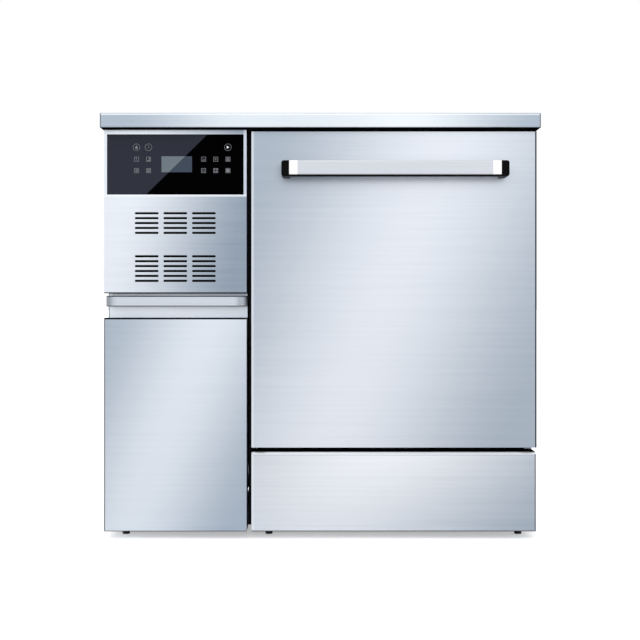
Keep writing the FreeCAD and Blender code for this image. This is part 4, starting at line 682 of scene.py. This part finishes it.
# painted highlights along the edges of the cut-out
beside_glass_highlight = fascia_steel.axis("X").rise(glass_high.x, glass_high.x + cut_highlight_fade)
beside_glass_highlight = beside_glass_highlight * fascia_z.rise(glass_low.z - cut_highlight_corner_fade, glass_low.z) * fascia_face
fascia_steel.over(beside_glass_highlight * cut_highlight_strength, tone(214, 222, 234))
under_glass_highlight = fascia_z.within(glass_low.z - cut_highlight_height, glass_low.z, cut_highlight_fade) * fascia_face
fascia_steel.over(under_glass_highlight * cut_highlight_strength, tone(240, 244, 250))
dress(fascia_steel, "upper_fascia")
soften(0.0004, "upper_fascia")


# Vent backing: thin dust mats, cut from a sheet of filter fleece and bonded to the inside of
# the fascia behind each group of slots. Their near-black colour is painted shade for the inside of
# the slots.
fascia_sheet = 0.0015
mat_gap = 0.0002
mat_thickness = 0.0012
mat_half_width = 0.090
mat_corner = 0.0003
# painted shade: near-black, so that the slots read as dark inside
mat = coated("slot_shade_mat", tone(1, 1, 1), tone(5, 5, 6), 0.95)
mat_middle_x = (fascia_low.x + fascia_high.x) / 2
mat_middle_y = fascia_low.y + fascia_sheet + mat_gap + mat_thickness / 2
mat_heights = {"upper_vent_backing": (0.617, 0.698), "lower_vent_backing": (0.519, 0.610)}
for name, (foot_z, head_z) in mat_heights.items():
    mesh = bmesh.new()
    bmesh.ops.create_cube(mesh, size=1.0)
    size = Matrix.Diagonal((2 * mat_half_width, mat_thickness, head_z - foot_z, 1))
    middle = Matrix.Translation((mat_middle_x, mat_middle_y, (foot_z + head_z) / 2))
    bmesh.ops.transform(mesh, matrix=middle @ size, verts=mesh.verts)
    bmesh.ops.bevel(mesh, geom=mesh.edges, offset=mat_corner, segments=1, affect="EDGES")
    data = bpy.data.meshes.new(name)
    mesh.to_mesh(data)
    mesh.free()
    data.materials.append(mat.material)
    backing = bpy.data.objects.new(name, data)
    bpy.context.scene.collection.objects.link(backing)
    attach(backing, "root")


# Glass carrier: moulded black frame, clipped into the fascia from behind. The glass is bonded to its
# front, and the green display and touch board is screwed to its back.
carrier_plastic = coated("carrier_plastic", tone(12, 12, 13), tone(24, 25, 26), 0.5)
dress(carrier_plastic, "glass_carrier")
dress(board_green, "display_module")


# Control glass: toughened glass with a black print on its back. A painted reflection of a pale room
# lies on it, left of a slanting edge.
mirror_slant = 0.45
mirror_foot = 0.285
mirror_blur = 0.004


def painted_reflection(finish):
    # 1 left of the slanting edge of the painted reflection of a room
    across, up = panel_place(finish, "control_glass")
    return 1 - (across - up * mirror_slant - mirror_foot).rise(-mirror_blur, mirror_blur)


glass = Finish("black_glass", {"Specular IOR Level": 0.0, "Coat Roughness": 0.02})
# painted reflection: lighter colour and more coat left of the slanting edge
reflection_mask = painted_reflection(glass)
dust = glass.noise((60, 60, 60), 5.0)
glass.feed("Base Color", glass.blend(reflection_mask, tone(0, 0, 1), tone(42, 45, 57)))
glass.feed("Coat Weight", reflection_mask * 0.2)
glass.feed("Roughness", 0.03 + dust * 0.05)
dress(glass, "control_glass")
soften(0.0004, "control_glass")


# Touch symbols: pale ink, screen printed on the face of the glass. Two round and four square keys
# stand left of the display, a round start key and six square keys right of it.
ink_height = 0.00008
ring_radius = 7.4
ring_stroke = 0.7
round_steps = 28
key_size = 9.6
key_stroke = 0.8
left_keys = (60.6, 85.5)
right_keys = (199.6, 224.7, 250.0)
key_rows = (26.3, 51.0, 74.6)


class Ink:
    # Flat printed shapes, laid out in millimetres from the glass's upper left corner
    def __init__(self, name):
        self.name = name
        self.mesh = bmesh.new()

    def spot(self, x, y, lift):
        return self.mesh.verts.new((glass_low.x + x / 1000, glass_low.y - lift, glass_high.z - y / 1000))

    def patch(self, corners):
        # a closed flat shape, a little proud of the glass
        under = [self.spot(x, y, 0.0) for x, y in corners]
        over = [self.spot(x, y, ink_height) for x, y in corners]
        self.mesh.faces.new(over)
        self.mesh.faces.new(under[::-1])
        for i in range(len(corners)):
            n = (i + 1) % len(corners)
            self.mesh.faces.new((under[i], under[n], over[n], over[i]))

    def rectangle(self, x, y, width, height):
        a = width / 2
        b = height / 2
        self.patch([(x - a, y - b), (x + a, y - b), (x + a, y + b), (x - a, y + b)])

    def stroke(self, start, end, width):
        start = Vector(start)
        end = Vector(end)
        along = end - start
        side = Vector((-along.y, along.x)).normalized() * width / 2
        self.patch([tuple(c) for c in (start - side, end - side, end + side, start + side)])

    def ring(self, x, y):
        inner = ring_radius - ring_stroke
        for i in range(round_steps):
            corners = []
            for step, r in ((i, ring_radius), (i + 1, ring_radius), (i + 1, inner), (i, inner)):
                turn = 2 * math.pi * step / round_steps
                corners.append((x + r * math.cos(turn), y + r * math.sin(turn)))
            self.patch(corners)

    def square(self, x, y):
        inner = (key_size - key_stroke) / 2
        for side in (-1, 1):
            self.rectangle(x, y + side * inner, key_size, key_stroke)
            self.rectangle(x + side * inner, y, key_stroke, key_size - 2 * key_stroke)

    def print_on(self, body, finish):
        bmesh.ops.remove_doubles(self.mesh, verts=self.mesh.verts, dist=0.000001)
        bmesh.ops.recalc_face_normals(self.mesh, faces=self.mesh.faces)
        data = bpy.data.meshes.new(self.name)
        self.mesh.to_mesh(data)
        self.mesh.free()
        piece = bpy.data.objects.new(self.name, data)
        bpy.context.scene.collection.objects.link(piece)
        data.materials.append(finish.material)
        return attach(piece, body)


symbols = Ink("touch_symbols")
x, y = left_keys[0], key_rows[0]
symbols.ring(x, y)
drop = ((0, -4.2), (3.0, 0.6), (2.2, 3.0), (0, 4.0), (-2.2, 3.0), (-3.0, 0.6))
symbols.patch([(x + across, y + down) for across, down in drop])
x = left_keys[1]
symbols.ring(x, y)
symbols.stroke((x, y + 0.4), (x, y - 4.4), ring_stroke)
symbols.stroke((x - 0.4, y), (x + 3.2, y + 2.2), ring_stroke)
symbols.ring(right_keys[2], key_rows[0])
x, y = left_keys[0], key_rows[1]
symbols.stroke((x, y + 2.8), (x, y - 2.8), key_stroke)
symbols.stroke((x, y - 2.8), (x - 1.8, y - 0.8), key_stroke)
# what stands in each square key: rectangles with their place in the key, width and height
square_keys = (
    (left_keys[0], key_rows[1], ()),
    (left_keys[1], key_rows[1], ((0, 2.4, 5.6, 1.6), (1.8, -1.4, 2.0, 3.4))),
    (left_keys[0], key_rows[2], ((0.8, -2.0, 4.4, 0.9), (-2.8, -2.0, 0.9, 0.9), (0.8, 0, 4.4, 0.9),
                                 (-2.8, 0, 0.9, 0.9), (0.8, 2.0, 4.4, 0.9), (-2.8, 2.0, 0.9, 0.9))),
    (left_keys[1], key_rows[2], ((0, -2.6, 6.2, 1.0), (0, -0.9, 6.2, 1.0), (0, 0.9, 6.2, 1.0),
                                 (0, 2.6, 6.2, 1.0))),
    (right_keys[0], key_rows[1], ((0, 0, 4.6, 0.9), (0, 2.3, 4.6, 0.9))),
    (right_keys[1], key_rows[1], ((0, 0, 4.6, 0.9), (0, 0, 0.9, 4.6))),
    (right_keys[2], key_rows[1], ((0, -2.4, 6.0, 1.4), (0, 0, 6.0, 1.4), (0, 2.4, 6.0, 1.4))),
    (right_keys[0], key_rows[2], ((0, -1.0, 5.8, 0.9), (-1.8, 2.0, 0.9, 3.0), (1.8, 2.0, 0.9, 3.0))),
    (right_keys[1], key_rows[2], ((-2.0, -2.0, 2.4, 2.4), (-2.0, 2.0, 2.4, 2.4), (2.0, -2.0, 2.4, 2.4),
                                  (2.0, 2.0, 2.4, 2.4))),
    (right_keys[2], key_rows[2], ((0, 0, 6.4, 6.4),)),
)
for x, y, marks in square_keys:
    symbols.square(x, y)
    for across, down, width, height in marks:
        symbols.rectangle(x + across, y + down, width, height)
symbols.print_on("root", coated("touch_symbols_ink", tone(108, 110, 116), tone(140, 142, 148), 0.6))

start = Ink("start_symbol")
x, y = right_keys[2], key_rows[0]
start.patch([(x - 2.4, y - 2.8), (x + 3.2, y), (x - 2.4, y + 2.8)])
start.print_on("root", coated("start_symbol_ink", tone(226, 228, 230), tone(246, 247, 248), 0.6))


# Display window: the unprinted part of the glass, through which the grey-blue liquid crystal panel
# shows. It is flush with the glass's face. The same painted reflection lightens its left part.
window_left = 112.4
window_top = 45.0
window_width = 63.2
window_height = 33.0
crystal = Finish("liquid_crystal", {"Roughness": 0.2, "Specular IOR Level": 0.1})
dots = crystal.cells((1800, 1800, 1800))
# painted reflection: lighter left of the slanting edge
reflected_crystal = crystal.blend(painted_reflection(crystal), tone(62, 73, 88), tone(110, 121, 130))
crystal.feed("Base Color", crystal.blend(dots * 0.12, reflected_crystal, tone(30, 36, 44)))
window = Ink("display_window")
window.rectangle(window_left + window_width / 2, window_top + window_height / 2, window_width, window_height)
window.print_on("root", crystal)


# Side panels: thin stainless sheets with the mill's brushed grain from front to back, folded at
# their edges and screwed to the carcass.
along_y = (900.0, 5.0, 900.0)
side_steel = brushed("side_panel_steel", tone(182, 188, 196), tone(214, 219, 226), along_y, 0.34)
dress(side_steel, "side_panels")


# Rear panel: thin stainless sheet with two groups of vent slots and the holes of all connections.
# The same domed screws hold it along its sides and its top.
screw_from_rear_edge = 0.0075
rear_screw_heights = (0.06, 0.25, 0.44, 0.63, 0.82)
top_screw_places = (-0.16, 0.0, 0.2)
rear_steel = brushed("rear_panel_steel", tone(176, 182, 190), tone(208, 213, 220), along_x, 0.36)
dress(rear_steel, "rear_panel")
rear_low, rear_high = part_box("rear_panel")
rear_places = [(x, z) for x in (rear_low.x + screw_from_rear_edge, rear_high.x - screw_from_rear_edge)
               for z in rear_screw_heights]
rear_places += [(x, rear_high.z - screw_from_rear_edge) for x in top_screw_places]
screw_heads("rear_panel_screws", rear_high.y, rear_places, "root")


# Connections in the rear panel: three white moulded inlet valves with hose threads, for cold, hot
# and pure water, and a black plastic gland for the mains cord.
dress(white_plastic, "inlet_valves")
dress(carrier_plastic, "cable_gland")
rounded_off("inlet_valves", "cable_gland")


# Worktop core: chipboard, which stiffens the steel skin and deadens it. Its bare underside is
# painted black as shade.
core_board = Finish("core_board", {"Roughness": 0.85})
chips = core_board.cells((260, 260, 500), "Color")
chip_tone = core_board.add("SeparateColor", {}, {0: chips}, 0)
core_board.feed("Base Color", core_board.blend(chip_tone, tone(126, 96, 62), tone(186, 152, 108)))
# painted shade: the underside of the core is black
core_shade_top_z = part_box("worktop_core")[0].z + 0.0004
above_core_shade = core_board.axis("Z").rise(core_shade_top_z, core_shade_top_z + 0.0002)
core_board.over(1 - above_core_shade, tone(3, 3, 4))
core_board.relief(chip_tone, 0.3)
dress(core_board, "worktop_core")


# Worktop: one stainless sheet, folded down and under on all sides over the core, and brushed from
# side to side. A painted reflection of a room's light lies on its front edge as two wide soft bands,
# with a painted highlight and a painted shade line along its rolled top, painted shade lines at its
# ends and painted black shade on its underside.
top_tone = tone(168, 180, 193)
brow_shade_width = 0.0012
highlight_top_drop = 0.0024
highlight_foot_drop = 0.0042
roll_fade = 0.0009
end_shade_width = 0.0018
surface_start = 0.00012
surface_full = 0.00003
underside_full = 0.00036
underside_end = 0.0006
worktop_steel = front_steel("worktop_steel", "worktop", top_tone, tone(234, 240, 246),
                            [(0.34, 0.34, 0.30, 0.75, 0.75), (0.68, 0.68, 0.34, 0.95, 0.95)])
top_low, top_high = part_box("worktop")
top_z = worktop_steel.axis("Z")
# painted highlight under the rolled top edge, and a painted shade line along its top
highlight = top_z.within(top_high.z - highlight_foot_drop, top_high.z - highlight_top_drop, roll_fade)
worktop_steel.over(highlight * 0.6, tone(246, 249, 252))
brow_shade = edge_line(worktop_steel, "worktop", "top", brow_shade_width, roll_fade)
worktop_steel.over(brow_shade * 0.8, tone(138, 150, 164))
# painted shade lines at both ends
for end in ("left", "right"):
    end_shade_line = edge_line(worktop_steel, "worktop", end, end_shade_width)
    worktop_steel.over(end_shade_line, tone(112, 119, 130))
# the painted bands are toned down on the top face
surface = top_z.rise(top_high.z - surface_start, top_high.z - surface_full)
worktop_steel.over(surface * 0.45, top_tone)
# painted shade: the underside is black and not metallic
underside_shade = 1 - top_z.rise(top_low.z + underside_full, top_low.z + underside_end)
worktop_steel.over(underside_shade, tone(3, 3, 4))
worktop_steel.feed("Metallic", 1 - underside_shade)
dress(worktop_steel, "worktop")


# Room: white floor and backdrop, a wide soft sun high on the left, a weaker one on the right and an
# even sky. The floor keeps the machine's shadow.
floor_size = 60.0
floor_glow = 0.42
sky_strength = 0.72
seen_sky_strength = 1.0
floor_corners = [(x * floor_size, y * floor_size, 0) for x, y in ((-1, -1), (1, -1), (1, 1), (-1, 1))]
floor_mesh = bpy.data.meshes.new("floor")
floor_mesh.from_pydata(floor_corners, [], [(0, 1, 2, 3)])
floor = bpy.data.objects.new("floor", floor_mesh)
bpy.context.scene.collection.objects.link(floor)
paper_white = (0.97, 0.97, 0.97, 1)
paper = Finish("floor_paper", {"Roughness": 1.0, "Specular IOR Level": 0.0, "Base Color": paper_white,
                               "Emission Strength": 1.0})
seen_floor = paper.add("LightPath", {}, {}, "Is Camera Ray")
paper.feed("Emission Color", paper.add("MapRange", {}, {0: seen_floor, 3: 0.0, 4: floor_glow}))
floor_mesh.materials.append(paper.material)

world = bpy.data.worlds.new("studio")
bpy.context.scene.world = world
world.use_nodes = True
sky = Nodes(world.node_tree)
seen_sky = sky.add("LightPath", {}, {}, "Is Camera Ray")
for ray in ("Is Glossy Ray", "Is Transmission Ray"):
    seen_sky = seen_sky.math("MAXIMUM", seen_sky, sky.add("LightPath", {}, {}, ray))
strength = sky.add("MapRange", {}, {0: seen_sky, 3: sky_strength, 4: seen_sky_strength})
backdrop = world.node_tree.nodes["Background"]
backdrop.inputs["Color"].default_value = (1, 1, 1, 1)
world.node_tree.links.new(strength.socket, backdrop.inputs["Strength"])

suns = (("key_lamp", (50, 0, -35), 60, 0.9), ("fill_lamp", (60, 0, 50), 90, 0.35))
for name, turn, angle, power in suns:
    lamp = bpy.data.lights.new(name, "SUN")
    lamp.energy = power
    lamp.angle = math.radians(angle)
    holder = bpy.data.objects.new(name, lamp)
    holder.rotation_euler = [math.radians(t) for t in turn]
    bpy.context.scene.collection.objects.link(holder)


# Camera: level, in front of the middle of the machine, as far off as the photograph's perspective
# tells.
eye_distance = 2.958
eye_height = 0.495
lens = bpy.data.cameras.new("camera")
lens.sensor_width = 36.0
lens.lens = 71.8
lens.shift_x = -0.0006
lens.shift_y = -0.031
lens.clip_end = 200.0
camera = bpy.data.objects.new("camera", lens)
camera.location = (0.0, -eye_distance, eye_height)
camera.rotation_euler = (math.radians(90), 0, 0)
bpy.context.scene.collection.objects.link(camera)
bpy.context.scene.camera = camera
bpy.context.scene.view_settings.view_transform = "Standard"
